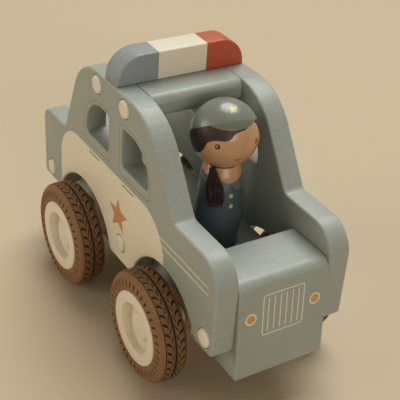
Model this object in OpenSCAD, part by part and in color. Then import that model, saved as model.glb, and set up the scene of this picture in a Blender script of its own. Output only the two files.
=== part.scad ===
// Wooden toy police car with a lift-out driver doll.
// Millimetres. Z is up, the front of the car faces -Y, and the floor the wheels stand on is z = 0.

/* [Body] */
// Length of the side panels from front edge to rear edge
car_l = 183; // [170:1:200]
// Clear width between the two side panels
inner_w = 49; // [46:0.5:56]
// Thickness of the side panels
panel_t = 11.5; // [10:0.5:13]
// Height of the roof above the underside of the floor board
roof_h = 91.7; // [88:0.1:100]
// Height of the front wing above the underside of the floor board
wing_h = 51.4; // [47:0.1:54]
// Height of the boot deck above the underside of the floor board
boot_h = 43.4; // [40:0.1:46]
// Length of the flat wing top, front edge to windscreen base
wing_l = 38.6; // [36:0.1:42]
// Length of the boot deck, rear pillar to rear edge
boot_l = 27.6; // [25:0.1:30]
// Slope of the windscreen pillar
screen_slope = 56; // [52:1:62]
// Slope of the rear pillar
rear_slope = 68; // [62:1:74]
// Height of the front and rear feet of a panel above the underside of the floor board
foot_h = 2; // [0:0.1:4]
// Drop of the sill below the underside of the floor board
sill_drop = 2; // [0:0.1:4]

/* [Panel corners] */
// Radius of the wing's front top corner
nose_r = 15; // [12:0.5:20]
// Radius where the windscreen pillar meets the wing
screen_base_r = 4; // [2:0.5:6]
// Radius where the windscreen pillar turns into the roof
screen_top_r = 33; // [28:0.5:36]
// Radius where the roof turns into the rear pillar
rear_top_r = 26; // [20:0.5:30]
// Radius where the rear pillar meets the boot deck
rear_base_r = 6; // [4:0.5:8]
// Radius of the boot's rear top corner
tail_r = 7; // [4:0.5:10]
// Radius of the lower corners and of the arch lips
foot_r = 3; // [1.5:0.5:4]

/* [Windows] */
// Height of the window sills above the underside of the floor board
window_sill_h = 53.9; // [53:0.1:58]
// Height of both windows
window_h = 20.6; // [19:0.1:22]
// Length of the front window
front_window_l = 26.6; // [25:0.1:28]
// Length of the rear window
rear_window_l = 24.9; // [23:0.1:27]
// Width of the post between the windows
post_w = 14; // [12:0.5:16]
// Distance from the middle of the car back to the middle of the post
post_y = 5.6; // [4:0.1:7]
// Large corner radius of each window
window_arc_r = 17; // [14:0.5:17.5]
// Small corner radius of each window
window_corner_r = 2.5; // [1.5:0.1:3]

/* [Boards and blocks] */
// Thickness of the floor board
floor_t = 18; // [16:0.5:20]
// Thickness of the roof board
roof_t = 11.5; // [10:0.5:13]
// Distance from the middle of the car forward to the roof board's front edge
roof_front = 10.2; // [8:0.1:11]
// Length of the roof board
roof_l = 44; // [42:0.5:48]
// Radius of the roof board's front and rear edges
roof_edge_r = 4.5; // [2:0.5:4.5]
// Depth of the front block, front face to back face
front_block_l = 28.7; // [26:0.1:31]
// Depth of the rear block
rear_block_l = 28; // [26:0.1:31]
// Drop of the front block's top below the wing top
front_block_drop = 12.9; // [10:0.1:16]
// Drop of the rear block's top below the boot deck
rear_block_drop = 8; // [6:0.1:12]
// Reach of the end blocks below the underside of the floor board
block_reach = 13.3; // [11:0.1:15]
// Radius of the upper outer edge of each end block
block_edge_r = 5.5; // [3:0.5:7]
// Reach of an end block's lower edge beyond the ends of the panels
block_rake = 4; // [0:0.1:6]
// Radius of the other long edges of each end block
block_edge_small_r = 1.2; // [0.5:0.1:2]
// Length of an axle block along the car
axle_block_l = 20; // [16:0.5:24]
// Height of an axle block
axle_block_h = 15; // [14:0.5:18]

/* [Light bar] */
// Length of the light bar across the roof
bar_l = 69.4; // [64:0.2:72]
// Height of the light bar
bar_h = 14.4; // [12:0.1:17]
// Depth of the light bar along the car
bar_d = 13.3; // [11:0.1:15]
// Distance from the middle of the car back to the light bar's front face
bar_front = 6; // [4:0.1:8]
// Least upright height left below the light bar's rounded ends
bar_foot = 0.6; // [0.6:0.1:1]
// Radius of the light bar's upper ends
bar_end_r = 14; // [9:0.5:17]

/* [Pegs] */
// Diameter of a peg's round head
peg_head_d = 9.4; // [8:0.1:9.8]
// Depth of a peg head inside the panel
peg_head_t = 4.5; // [3:0.1:6]
// Height of a peg head above the panel
peg_proud = 1.2; // [0.8:0.1:2]
// Diameter of a peg's shank
peg_d = 6; // [5:0.1:6.5]
// Length of the shank inside the board behind the panel
peg_bite = 12; // [8:0.5:15]
// Radius of a peg head's edge
peg_edge_r = 1.1; // [0.5:0.1:1.5]
// Gap all round a peg in its hole
peg_gap = 0.3; // [0.2:0.05:0.4]
// Distance of the roof pegs below the roof
roof_peg_drop = 6.4; // [6.2:0.1:7]
// Distance of the two roof pegs behind the roof board's front edge
roof_peg_y = [6.8, 35.3]; // [0:0.1:44]
// Distance of the front peg behind the car's front edge
front_peg_y = 7.6; // [7:0.1:9]
// Distance of the rear peg ahead of the car's rear edge
rear_peg_y = 10; // [9:0.1:12]

/* [Wheels] */
// Outside diameter of a tyre
wheel_d = 56.5; // [52:0.5:60]
// Width of a tyre
tyre_w = 15; // [13:0.5:18]
// Distance between the front and rear axles
wheelbase = 86.5; // [84:0.5:90]
// Distance from the car's front edge to the front axle
front_overhang = 46; // [44:0.5:48]
// Gap between a tyre and its wheel arch
arch_gap = 3.2; // [2:0.1:4]
// Height of the floor board's underside above the axles
floor_rise = 8.75; // [8:0.05:10]
// Depth by which a tyre reaches inside the panel's outer face
tyre_tuck = 0.4; // [0:0.1:2]
// Diameter of the hub's outer flange
flange_d = 38; // [36:0.2:40]
// Height of the flange over the rim
flange_lip = 1.7; // [1:0.1:2.5]
// Thickness of the flange
flange_t = 1.5; // [1:0.1:2]
// Distance of the hub face outside the tyre
hub_proud = 0.3; // [0.1:0.1:1]
// Diameter of the dish in the hub face
dish_d = 25.4; // [23:0.2:28]
// Depth of the dish in the hub face
dish_depth = 5; // [4:0.1:6]
// Diameter of the hub cap
cap_d = 14.6; // [12:0.2:17]
// Thickness of the hub cap
cap_t = 2.4; // [1.5:0.1:3.5]
// Diameter of the hub's inner boss
boss_d = 10; // [9:0.1:12]
// End play between a hub boss and its axle block
end_play = 0.5; // [0.3:0.05:0.8]
// Gap between a tyre and its rim
tyre_gap = 0.1; // [0.05:0.05:0.2]
// Radius of a tyre's shoulders
shoulder_r = 2.5; // [1.5:0.1:3]
// Width of a groove round the tread
groove_w = 1.4; // [1:0.1:2]
// Depth of a groove round the tread
groove_d = 1.5; // [1:0.1:2]
// Distance between neighbouring grooves round the tread
groove_pitch = 3.3; // [3:0.1:3.6]
// Number of grooves round the tread
groove_n = 3; // [1:1:3]
// Radius of the hub's and the hub cap's edges
hub_edge_r = 0.7; // [0.4:0.1:1]
// Diameter of an axle
axle_d = 5; // [4:0.1:6]
// Running gap all round an axle
axle_play = 0.05; // [0.02:0.01:0.1]

/* [Doll] */
// Distance of the doll's axis from the middle of the car, across
doll_x = 3; // [0:0.1:3.5]
// Distance of the doll's axis ahead of the roof board's front edge
doll_lead = 19.6; // [19.2:0.1:22]
// Turn of the doll towards the car's right side
doll_yaw = 10; // [0:1:12]
// Depth of the round recess that the doll stands in
recess_d = 2; // [1:0.1:3]
// Gap all round the doll in its recess
recess_gap = 0.6; // [0.6:0.05:0.8]
// Height of the doll's body up to the head
doll_body_h = 47; // [44:0.5:50]
// Radius of the doll's base
doll_base_r = 9.8; // [9.5:0.1:10.4]
// Radius of the doll's body at its widest
doll_waist_r = 12.3; // [11.8:0.1:12.8]
// Height of the widest part of the doll's body
doll_waist_h = 18; // [16:0.5:21]
// Height of the slope from the doll's shoulders up to its neck
doll_slope_h = 4.5; // [4:0.1:6]
// Radius of the bend in the doll's waist
waist_bend_r = 25; // [15:1:40]
// Radius of the doll's rounded shoulders
shoulder_bend_r = 4; // [2:0.5:5]
// Radius of the doll's shoulders
doll_shoulder_r = 9.9; // [9.6:0.1:10.2]
// Radius of the top of the doll's body, under the head
doll_neck_r = 8.2; // [7.6:0.1:8.4]
// Radius of the doll's head
head_r = 16.4; // [15.5:0.1:16.8]
// Depth by which the head's flat underside cuts into the ball
head_flat = 1.7; // [1.5:0.1:2.2]
// Diameter of the neck pin
neck_pin_d = 5; // [4:0.1:6]
// Length of the neck pin in the body, and again in the head
neck_pin_half = 8; // [6:0.1:10]
// Gap round a glued pin
glue_gap = 0.3; // [0.2:0.05:0.4]

/* [Doll ponytail] */
// Turn of the ponytail from the doll's front, towards its right side
tail_turn = 48; // [40:1:56]
// Distance of the ponytail's top from the doll's axis
tail_reach = 10.7; // [10.6:0.1:11.4]
// Length of the ponytail below its tie
tail_l = 17; // [15:0.1:19]
// Lean of the ponytail away from the body
tail_lean = 14; // [13:0.5:18]
// Sweep of the ponytail towards the doll's front
tail_sweep = 17; // [10:0.5:22]
// Width of the ponytail at its tie
tail_top_w = 3; // [2.4:0.1:3.4]
// Width of the ponytail at its widest
tail_w = 11; // [9:0.1:12]
// Width of the ponytail at its tip
tail_tip_w = 8.5; // [7:0.1:9]
// Distance from the tie to the widest part of the ponytail
tail_swell_l = 12; // [10:0.1:13]
// Thickness of the ponytail at its tie
tail_top_t = 2.6; // [2.2:0.1:2.8]
// Thickness of the ponytail at its tip
tail_tip_t = 5; // [4:0.1:5.2]
// Radius of the ponytail's rounded corners
tail_edge_r = 2; // [1:0.1:2.5]
// Length of the tie round the ponytail
tie_l = 2; // [1.5:0.1:2.5]
// Radius of the tie's edges
tie_edge_r = 0.6; // [0.2:0.1:0.7]
// Radius of the tie
tie_r = 1.8; // [1.6:0.1:2]
// Gap between the tie and the head
tie_gap = 1; // [0.8:0.05:1.2]

/* [Hidden] */
$fn = 96;
// Overlap that lets a cutting solid pass cleanly through a face
through = 1;
// Overlap that lets an arc cross the lines and arcs that it runs into
arc_bite = 0.002;
// Length of the car that the other lengths along it are given for
drawn_l = 183;
// Height of the roof that the other heights up to it are given for
drawn_roof_h = 91.7;
// Stretch of the lengths along the car, and of the heights up to the roof
along = car_l / drawn_l;
upward = roof_h / drawn_roof_h;

front_y = -car_l / 2;
rear_y = car_l / 2;
inner_x = inner_w / 2;
outer_x = inner_x + panel_t;

axle_z = wheel_d / 2;
floor_z = axle_z + floor_rise;
floor_top_z = floor_z + floor_t;
roof_z = floor_z + roof_h;
wing_z = floor_z + upward * wing_h;
boot_z = floor_z + upward * boot_h;
foot_z = floor_z + foot_h;
sill_z = floor_z - sill_drop;
front_axle_y = front_y + along * front_overhang;
rear_axle_y = front_axle_y + along * wheelbase;
arch_r = wheel_d / 2 + arch_gap;

screen_base_y = front_y + along * wing_l;
screen_top_y = screen_base_y + (roof_z - wing_z) / tan(screen_slope);
rear_base_y = rear_y - along * boot_l;
rear_top_y = rear_base_y - (roof_z - boot_z) / tan(rear_slope);

front_block_back_y = front_y + along * front_block_l;
rear_block_front_y = rear_y - along * rear_block_l;
roof_y0 = -along * roof_front;
roof_y1 = roof_y0 + along * roof_l;
block_bottom_z = floor_z - block_reach;
front_block_top_z = wing_z - front_block_drop;
rear_block_top_z = boot_z - rear_block_drop;

window_z0 = floor_z + upward * window_sill_h;
window_z1 = window_z0 + upward * window_h;
front_window_y1 = along * post_y - post_w / 2;
rear_window_y0 = along * post_y + post_w / 2;
window_bend_r = window_arc_r * min(along, upward);

peg_z = floor_z + floor_t / 2;
roof_peg_z = roof_z - roof_peg_drop;
sill_peg_y = (front_axle_y + rear_axle_y) / 2;
peg_l = panel_t + peg_bite;
peg_shank_hole_d = peg_d + 2 * peg_gap;

tyre_in = outer_x - tyre_tuck;
tyre_out = tyre_in + tyre_w;
hub_face = tyre_out + hub_proud;
rim_r = flange_d / 2 - flange_lip;
bead_in = tyre_in + hub_proud;
flange_in = hub_face - flange_t;
dish_floor = hub_face - dish_depth;
axle_half = dish_floor - end_play;

doll_y = roof_y0 - doll_lead;
doll_z = floor_top_z - recess_d;
head_z = doll_body_h + head_r - head_flat;
tie_top_z = head_z - sqrt(head_r * head_r - tail_reach * tail_reach) - tie_gap;

PAINT = [0.53, 0.60, 0.60];
CREAM = [0.90, 0.85, 0.75];
RUBBER = [0.28, 0.18, 0.13];
STEEL = [0.70, 0.70, 0.70];
NAVY = [0.16, 0.23, 0.29];
SKIN = [0.62, 0.38, 0.25];
HAIR = [0.16, 0.10, 0.08];
MAPLE = [0.88, 0.73, 0.55];

// Outline helpers: a corner is [x, y, radius], listed anticlockwise
function spot(c) = [c[0], c[1]];
function radius(c) = len(c) > 2 ? c[2] : 0;
function toward(a, b) = (b - a) / norm(b - a);
function half_angle(a, b, c) = acos(toward(b, a) * toward(b, c)) / 2;
function setback(a, b, c, r) = r / tan(half_angle(a, b, c));
function arc_start(a, b, c, r) = b + toward(b, a) * setback(a, b, c, r);
function arc_end(a, b, c, r) = b + toward(b, c) * setback(a, b, c, r);
function arc_centre(a, b, c, r) =
    b + toward([0, 0], toward(b, a) + toward(b, c)) * r / sin(half_angle(a, b, c));
function turns_left(a, b, c) = cross(b - a, c - b) > 0;
// A point a little inside the chord between a corner's tangent points
function arc_heart(a, b, c, r) =
    (arc_start(a, b, c, r) + arc_end(a, b, c, r)) / 2
    + toward(b, arc_centre(a, b, c, r)) * setback(a, b, c, r) / 4;

// Length by which a corner's slice runs on along the straight edges
function arc_reach(r) = 2 * sqrt(2 * r * arc_bite);

// The rounded tip of a corner's circle between its two tangent points
module corner_slice(a, b, c, r) {
    centre = arc_centre(a, b, c, r);
    start = arc_start(a, b, c, r);
    end = arc_end(a, b, c, r);
    past = 4 * arc_bite;
    intersection() {
        translate(centre) circle(r + arc_bite);
        polygon([
            start + toward(b, a) * arc_reach(r) + toward(centre, start) * past,
            b + toward(centre, b) * past,
            end + toward(b, c) * arc_reach(r) + toward(centre, end) * past,
            arc_heart(a, b, c, r)
        ]);
    }
}

// A closed outline whose corners are true arcs, hollow corners too
module outline(corners) {
    n = len(corners);
    p = [for (c = corners) spot(c)];
    r = [for (c = corners) radius(c)];
    function before(i) = p[(i + n - 1) % n];
    function after(i) = p[(i + 1) % n];
    difference() {
        union() {
            polygon([
                for (i = [0 : n - 1])
                    each r[i] == 0 ? [p[i]] : [
                        arc_start(before(i), p[i], after(i), r[i]),
                        arc_end(before(i), p[i], after(i), r[i])
                    ]
            ]);
            for (i = [0 : n - 1])
                if (r[i] > 0 && turns_left(before(i), p[i], after(i)))
                    corner_slice(before(i), p[i], after(i), r[i]);
        }
        for (i = [0 : n - 1])
            if (r[i] > 0 && !turns_left(before(i), p[i], after(i)))
                corner_slice(before(i), p[i], after(i), r[i]);
    }
}

// Extrudes an outline drawn in (Y, Z) along X, centred on x
module across(x, w) {
    translate([x - w / 2, 0, 0]) rotate([90, 0, 90]) linear_extrude(w) children();
}

// Spins an outline drawn in (radius, distance) about the X axis, away from the middle on one side
module spin_x(side) {
    rotate([0, side * 90, 0]) rotate_extrude() children();
}

// A round bar along X
module rod_x(d, x0, x1) {
    translate([x0, 0, 0]) rotate([0, 90, 0]) cylinder(d = d, h = x1 - x0);
}

// The sharp tip between a wheel arch and the lower edge at height z, outside its small fillet
module arch_lip(axle_y, side, z) {
    rise = z - axle_z;
    corner = [axle_y + side * sqrt(arch_r * arch_r - rise * rise), z];
    reach = arch_r + foot_r;
    lift = rise + foot_r;
    centre = [axle_y + side * sqrt(reach * reach - lift * lift), z + foot_r];
    hub = [axle_y, axle_z];
    inside = hub + toward(hub, centre) * (arch_r - through);
    difference() {
        polygon([[centre[0], z - through], corner - [side * through, through], inside, centre]);
        translate(centre) circle(foot_r + arc_bite);
    }
}

// Side view of a panel, without its windows
module panel_outline() {
    difference() {
        outline([
            [front_y, foot_z, foot_r], [front_axle_y, foot_z], [front_axle_y, sill_z],
            [rear_axle_y, sill_z], [rear_axle_y, foot_z], [rear_y, foot_z, foot_r],
            [rear_y, boot_z, tail_r], [rear_base_y, boot_z, rear_base_r],
            [rear_top_y, roof_z, rear_top_r], [screen_top_y, roof_z, screen_top_r],
            [screen_base_y, wing_z, screen_base_r], [front_y, wing_z, nose_r]
        ]);
        for (y = [front_axle_y, rear_axle_y]) translate([y, axle_z]) circle(arch_r);
        arch_lip(front_axle_y, -1, foot_z);
        arch_lip(front_axle_y, 1, sill_z);
        arch_lip(rear_axle_y, -1, sill_z);
        arch_lip(rear_axle_y, 1, foot_z);
    }
}

module front_window() {
    y0 = front_window_y1 - along * front_window_l;
    outline([
        [y0, window_z0, window_corner_r], [front_window_y1, window_z0, window_corner_r],
        [front_window_y1, window_z1, window_corner_r], [y0, window_z1, window_bend_r]
    ]);
}

module rear_window() {
    y1 = rear_window_y0 + along * rear_window_l;
    outline([
        [rear_window_y0, window_z0, window_corner_r], [y1, window_z0, window_corner_r],
        [y1, window_z1, window_bend_r], [rear_window_y0, window_z1, window_corner_r]
    ]);
}

// Places of the pegs on one side, as [y, z]
function roof_peg_places() = [for (y = roof_peg_y) [roof_y0 + along * y, roof_peg_z]];
function front_peg_place() = [front_y + front_peg_y, peg_z];
function sill_peg_place() = [sill_peg_y, peg_z];
function rear_peg_place() = [rear_y - rear_peg_y, peg_z];

// Holes for pegs driven in from both sides of the car
module peg_holes(places) {
    for (p = places, side = [-1, 1])
        translate([side * outer_x, p[0], p[1]]) rotate([0, -side * 90, 0]) {
            translate([0, 0, -through]) cylinder(d = peg_head_d + 2 * peg_gap, h = peg_head_t + through);
            cylinder(d = peg_shank_hole_d, h = peg_l + peg_gap);
        }
}

// A turned peg with a round head, pointing into the car
module peg(side, place) {
    translate([side * outer_x, place[0], place[1]]) rotate([0, side * 90, 0]) rotate_extrude() outline([
        [0, -peg_l], [peg_d / 2, -peg_l], [peg_d / 2, -peg_head_t], [peg_head_d / 2, -peg_head_t],
        [peg_head_d / 2, peg_proud, peg_edge_r], [0, peg_proud]
    ]);
}

module side_panel(side) {
    color(PAINT) difference() {
        across(side * (inner_x + panel_t / 2), panel_t) difference() {
            panel_outline();
            front_window();
            rear_window();
        }
        peg_holes(concat(roof_peg_places(), [front_peg_place(), sill_peg_place(), rear_peg_place()]));
    }
}

module roof_board() {
    z0 = roof_z - roof_t;
    color(PAINT) difference() {
        across(0, inner_w) outline([
            [roof_y0, z0, roof_edge_r], [roof_y1, z0, roof_edge_r],
            [roof_y1, roof_z, roof_edge_r], [roof_y0, roof_z, roof_edge_r]
        ]);
        peg_holes(roof_peg_places());
    }
}

module floor_board() {
    color(PAINT) difference() {
        translate([-inner_x, front_block_back_y, floor_z])
            cube([inner_w, rear_block_front_y - front_block_back_y, floor_t]);
        peg_holes([sill_peg_place()]);
        translate([doll_x, doll_y, doll_z]) cylinder(r = doll_base_r + recess_gap, h = recess_d + through);
    }
}

module front_block() {
    color(PAINT) difference() {
        across(0, inner_w) outline([
            [front_y - block_rake, block_bottom_z, block_edge_small_r], [front_block_back_y, block_bottom_z],
            [front_block_back_y, front_block_top_z, block_edge_small_r],
            [front_y, front_block_top_z, block_edge_r]
        ]);
        peg_holes([front_peg_place()]);
    }
}

module rear_block() {
    color(PAINT) difference() {
        across(0, inner_w) outline([
            [rear_block_front_y, block_bottom_z], [rear_y + block_rake, block_bottom_z, block_edge_small_r],
            [rear_y, rear_block_top_z, block_edge_r],
            [rear_block_front_y, rear_block_top_z, block_edge_small_r]
        ]);
        peg_holes([rear_peg_place()]);
    }
}

module axle_block(y) {
    color(MAPLE) difference() {
        translate([-inner_x, y - axle_block_l / 2, floor_z - axle_block_h])
            cube([inner_w, axle_block_l, axle_block_h]);
        translate([0, y, axle_z]) rod_x(axle_d + 2 * axle_play, -inner_x - through, inner_x + through);
    }
}

module light_bar() {
    end_r = min(bar_end_r, bar_h - bar_foot);
    color(CREAM) translate([0, along * bar_front + bar_d, roof_z]) rotate([90, 0, 0]) linear_extrude(bar_d) outline([
        [-bar_l / 2, 0], [bar_l / 2, 0], [bar_l / 2, bar_h, end_r], [-bar_l / 2, bar_h, end_r]
    ]);
}

module axle(y) {
    color(STEEL) translate([0, y, axle_z]) rod_x(axle_d, -axle_half, axle_half);
}

module tyre(y, side) {
    bead_r = rim_r + tyre_gap;
    tread_r = wheel_d / 2;
    wall_r = (bead_r + tread_r) / 2;
    edge = shoulder_r + hub_proud;
    middle = (tyre_in + tyre_out) / 2;
    color(RUBBER) translate([0, y, axle_z]) spin_x(side) difference() {
        outline([
            [bead_r, bead_in], [wall_r, tyre_in, shoulder_r], [tread_r - edge, tyre_in + hub_proud, shoulder_r],
            [tread_r, tyre_in + edge, shoulder_r], [tread_r, tyre_out - edge, shoulder_r],
            [tread_r - edge, tyre_out - hub_proud, shoulder_r], [wall_r, tyre_out, shoulder_r],
            [flange_d / 2 + tyre_gap, tyre_out - hub_proud], [flange_d / 2 + tyre_gap, flange_in], [bead_r, flange_in]
        ]);
        for (i = [0 : groove_n - 1])
            translate([tread_r - groove_d, middle + (i - (groove_n - 1) / 2) * groove_pitch - groove_w / 2])
                square([groove_d + through, groove_w]);
    }
}

module hub(y, side) {
    bore_r = axle_d / 2 + axle_play;
    color(CREAM) translate([0, y, axle_z]) spin_x(side) outline([
        [bore_r, inner_x + end_play], [boss_d / 2, inner_x + end_play], [boss_d / 2, bead_in], [rim_r, bead_in],
        [rim_r, flange_in], [flange_d / 2, flange_in], [flange_d / 2, hub_face, hub_edge_r],
        [dish_d / 2, hub_face, hub_edge_r], [dish_d / 2, dish_floor, hub_edge_r], [bore_r, dish_floor]
    ]);
}

module hub_cap(y, side) {
    color(CREAM) translate([0, y, axle_z]) spin_x(side) outline([
        [0, dish_floor], [cap_d / 2, dish_floor], [cap_d / 2, dish_floor + cap_t, hub_edge_r], [0, dish_floor + cap_t]
    ]);
}

// Stands what follows where the doll is, with its face towards -Y before the turn
module at_doll() {
    translate([doll_x, doll_y, doll_z]) rotate([0, 0, -doll_yaw]) children();
}

module doll_body() {
    color(NAVY) at_doll() difference() {
        rotate_extrude() outline([
            [0, 0], [doll_base_r, 0], [doll_waist_r, doll_waist_h, waist_bend_r],
            [doll_shoulder_r, doll_body_h - doll_slope_h, shoulder_bend_r],
            [doll_neck_r, doll_body_h], [0, doll_body_h]
        ]);
        translate([0, 0, doll_body_h - neck_pin_half])
            cylinder(d = neck_pin_d + 2 * glue_gap, h = neck_pin_half + through);
    }
}

module doll_head() {
    color(SKIN) at_doll() difference() {
        translate([0, 0, head_z]) sphere(head_r);
        translate([0, 0, doll_body_h - head_r]) cylinder(r = head_r, h = head_r);
        cylinder(d = neck_pin_d + 2 * glue_gap, h = doll_body_h + neck_pin_half + glue_gap);
    }
}

module doll_neck_pin() {
    color(MAPLE) at_doll() translate([0, 0, doll_body_h - neck_pin_half])
        cylinder(d = neck_pin_d, h = 2 * neck_pin_half);
}

// Stands what follows at the top of the ponytail, pointing down along it
module at_ponytail() {
    at_doll() rotate([0, 0, -tail_turn]) translate([0, -tail_reach, tie_top_z])
        rotate([-tail_lean, 0, 0]) rotate([0, -tail_sweep, 0]) children();
}

// A flat wedge with a rounded front view
module doll_ponytail() {
    color(HAIR) at_ponytail() translate([0, 0, -tie_l]) intersection() {
        translate([0, tail_tip_t, 0]) rotate([90, 0, 0]) linear_extrude(2 * tail_tip_t) outline([
            [-tail_tip_w / 2, -tail_l, tail_edge_r], [tail_tip_w / 2, -tail_l, tail_edge_r],
            [tail_w / 2, -tail_swell_l, tail_edge_r], [tail_top_w / 2, 0],
            [-tail_top_w / 2, 0], [-tail_w / 2, -tail_swell_l, tail_edge_r]
        ]);
        across(0, 2 * tail_w) polygon([
            [-tail_tip_t / 2, -tail_l - through], [tail_tip_t / 2, -tail_l - through],
            [tail_top_t / 2, through], [-tail_top_t / 2, through]
        ]);
    }
}

module doll_hair_tie() {
    color(HAIR) at_ponytail() rotate_extrude() outline([
        [0, -tie_l], [tie_r, -tie_l, tie_edge_r], [tie_r, 0, tie_edge_r], [0, 0]
    ]);
}

side_panel(-1);  // right_side_panel
side_panel(1);  // left_side_panel
roof_board();
floor_board();
front_block();
rear_block();
axle_block(front_axle_y);  // front_axle_block
axle_block(rear_axle_y);  // rear_axle_block
light_bar();
color(CREAM) for (p = roof_peg_places()) peg(-1, p);  // right_roof_pegs
color(CREAM) for (p = roof_peg_places()) peg(1, p);  // left_roof_pegs
color(CREAM) peg(-1, front_peg_place());  // right_front_peg
color(CREAM) peg(1, front_peg_place());  // left_front_peg
color(CREAM) peg(-1, sill_peg_place());  // right_sill_peg
color(CREAM) peg(1, sill_peg_place());  // left_sill_peg
color(CREAM) peg(-1, rear_peg_place());  // right_rear_peg
color(CREAM) peg(1, rear_peg_place());  // left_rear_peg
axle(front_axle_y);  // front_axle
axle(rear_axle_y);  // rear_axle
tyre(front_axle_y, -1);  // front_right_tyre
tyre(front_axle_y, 1);  // front_left_tyre
tyre(rear_axle_y, -1);  // rear_right_tyre
tyre(rear_axle_y, 1);  // rear_left_tyre
hub(front_axle_y, -1);  // front_right_hub
hub(front_axle_y, 1);  // front_left_hub
hub(rear_axle_y, -1);  // rear_right_hub
hub(rear_axle_y, 1);  // rear_left_hub
hub_cap(front_axle_y, -1);  // front_right_hub_cap
hub_cap(front_axle_y, 1);  // front_left_hub_cap
hub_cap(rear_axle_y, -1);  // rear_right_hub_cap
hub_cap(rear_axle_y, 1);  // rear_left_hub_cap
doll_body();
doll_head();
doll_neck_pin();
doll_ponytail();
doll_hair_tie();
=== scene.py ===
"""Looks of a wooden toy police car with a lift-out driver doll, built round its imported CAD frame.

Shapes are drawn in millimetres in the part's own frame (Z up, the front of the car faces -Y) and become
metres when they turn into Blender meshes.
"""

import logging
import math
import random
from collections.abc import Callable, Sequence
from dataclasses import dataclass, field, replace
from enum import Enum, IntEnum

import bmesh
import bpy
import numpy as np
from mathutils import Matrix, Vector
from mathutils.geometry import delaunay_2d_cdt


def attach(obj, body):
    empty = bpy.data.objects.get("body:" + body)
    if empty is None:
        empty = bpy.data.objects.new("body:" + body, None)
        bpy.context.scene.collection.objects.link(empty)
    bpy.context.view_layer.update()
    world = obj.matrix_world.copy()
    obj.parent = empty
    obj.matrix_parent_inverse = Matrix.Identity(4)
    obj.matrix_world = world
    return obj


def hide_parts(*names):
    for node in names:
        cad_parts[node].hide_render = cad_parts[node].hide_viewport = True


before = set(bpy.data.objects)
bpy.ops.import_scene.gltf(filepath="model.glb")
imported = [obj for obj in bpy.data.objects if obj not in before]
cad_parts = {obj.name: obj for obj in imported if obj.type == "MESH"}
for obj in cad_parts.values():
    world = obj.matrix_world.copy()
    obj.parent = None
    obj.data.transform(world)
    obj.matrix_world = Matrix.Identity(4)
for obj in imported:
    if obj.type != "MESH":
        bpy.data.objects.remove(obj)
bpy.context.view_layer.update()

Point = tuple[float, float]
Spot = tuple[float, float, float]
Corner = tuple[float, float, float]
Span = tuple[float, float]
Radii = tuple[float, float]
Scales = tuple[float, float, float]
Loop = list[Point]
Edge = tuple[int, int]
Place = Callable[[float, float, float], Spot]
Colour = tuple[float, float, float, float]
Socket = bpy.types.NodeSocket
Material = bpy.types.Material
Piece = bpy.types.Object

# Metres in a millimetre
MM = 0.001
# How far the chords of a drawn arc lie inside the true arc, in millimetres
ARC_SAG = 0.012
# Least and greatest angle between the points of an arc, in degrees
ARC_STEPS = (2.0, 12.0)
# Distance under which points of a cut shape count as one, in millimetres
TOUCH = 1e-5
# Distance under which a point lies on a line or a face, in millimetres
NEAR = 1e-3
# Distance under which the points on both sides of a seam become one, in millimetres
SEAM = 0.002
# Radius under which a point of a profile lies on its axis, in millimetres
ON_AXIS = 1e-6
# Length under which an edge is dropped after a weld, in metres
SHORT_EDGE = 1e-7
# Name of the value on a mesh's points that lightens an edge's paint, as worn paint and a painted highlight,
# and that on a tyre darkens the tread and grooves with painted shade
WEAR_AND_PAINTED_LIGHT = "edge"
LOG = logging.getLogger("toy_car")


class Direction(Enum):
    """A way across or along the car, by the sign of its axis."""

    @property
    def word(self) -> str:
        """The direction's name in node and piece names."""
        return self.name.lower()


class Side(Direction):
    """The two sides of the car, by the sign of X."""

    RIGHT = -1
    LEFT = 1


class End(Direction):
    """The two ends of the car, by the sign of Y."""

    FRONT = -1
    REAR = 1


class Grain(Enum):
    """Direction of the wood under a paint, as texture scales per metre along X, Y and Z."""

    ALONG_X = (35.0, 620.0, 620.0)
    ALONG_Y = (620.0, 35.0, 620.0)
    ALONG_Z = (620.0, 620.0, 35.0)


def linear(code: str) -> Colour:
    """Turns a hex colour as seen on a screen into the linear colour that a shader takes.

    Args:
        code: Six hex digits.

    Returns:
        Red, green, blue and an alpha of 1.
    """
    shown = [int(code[i : i + 2], 16) / 255 for i in (0, 2, 4)]
    light = [c / 12.92 if c <= 0.04045 else ((c + 0.055) / 1.055) ** 2.4 for c in shown]
    return (light[0], light[1], light[2], 1.0)


def shade(colour: Colour, factor: float) -> Colour:
    """Makes a linear colour lighter or darker.

    Args:
        colour: Linear colour with alpha.
        factor: Share of the light that is kept.

    Returns:
        The changed colour with an alpha of 1.
    """
    red, green, blue = (min(1.0, part * factor) for part in colour[:3])
    return (red, green, blue, 1.0)


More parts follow.
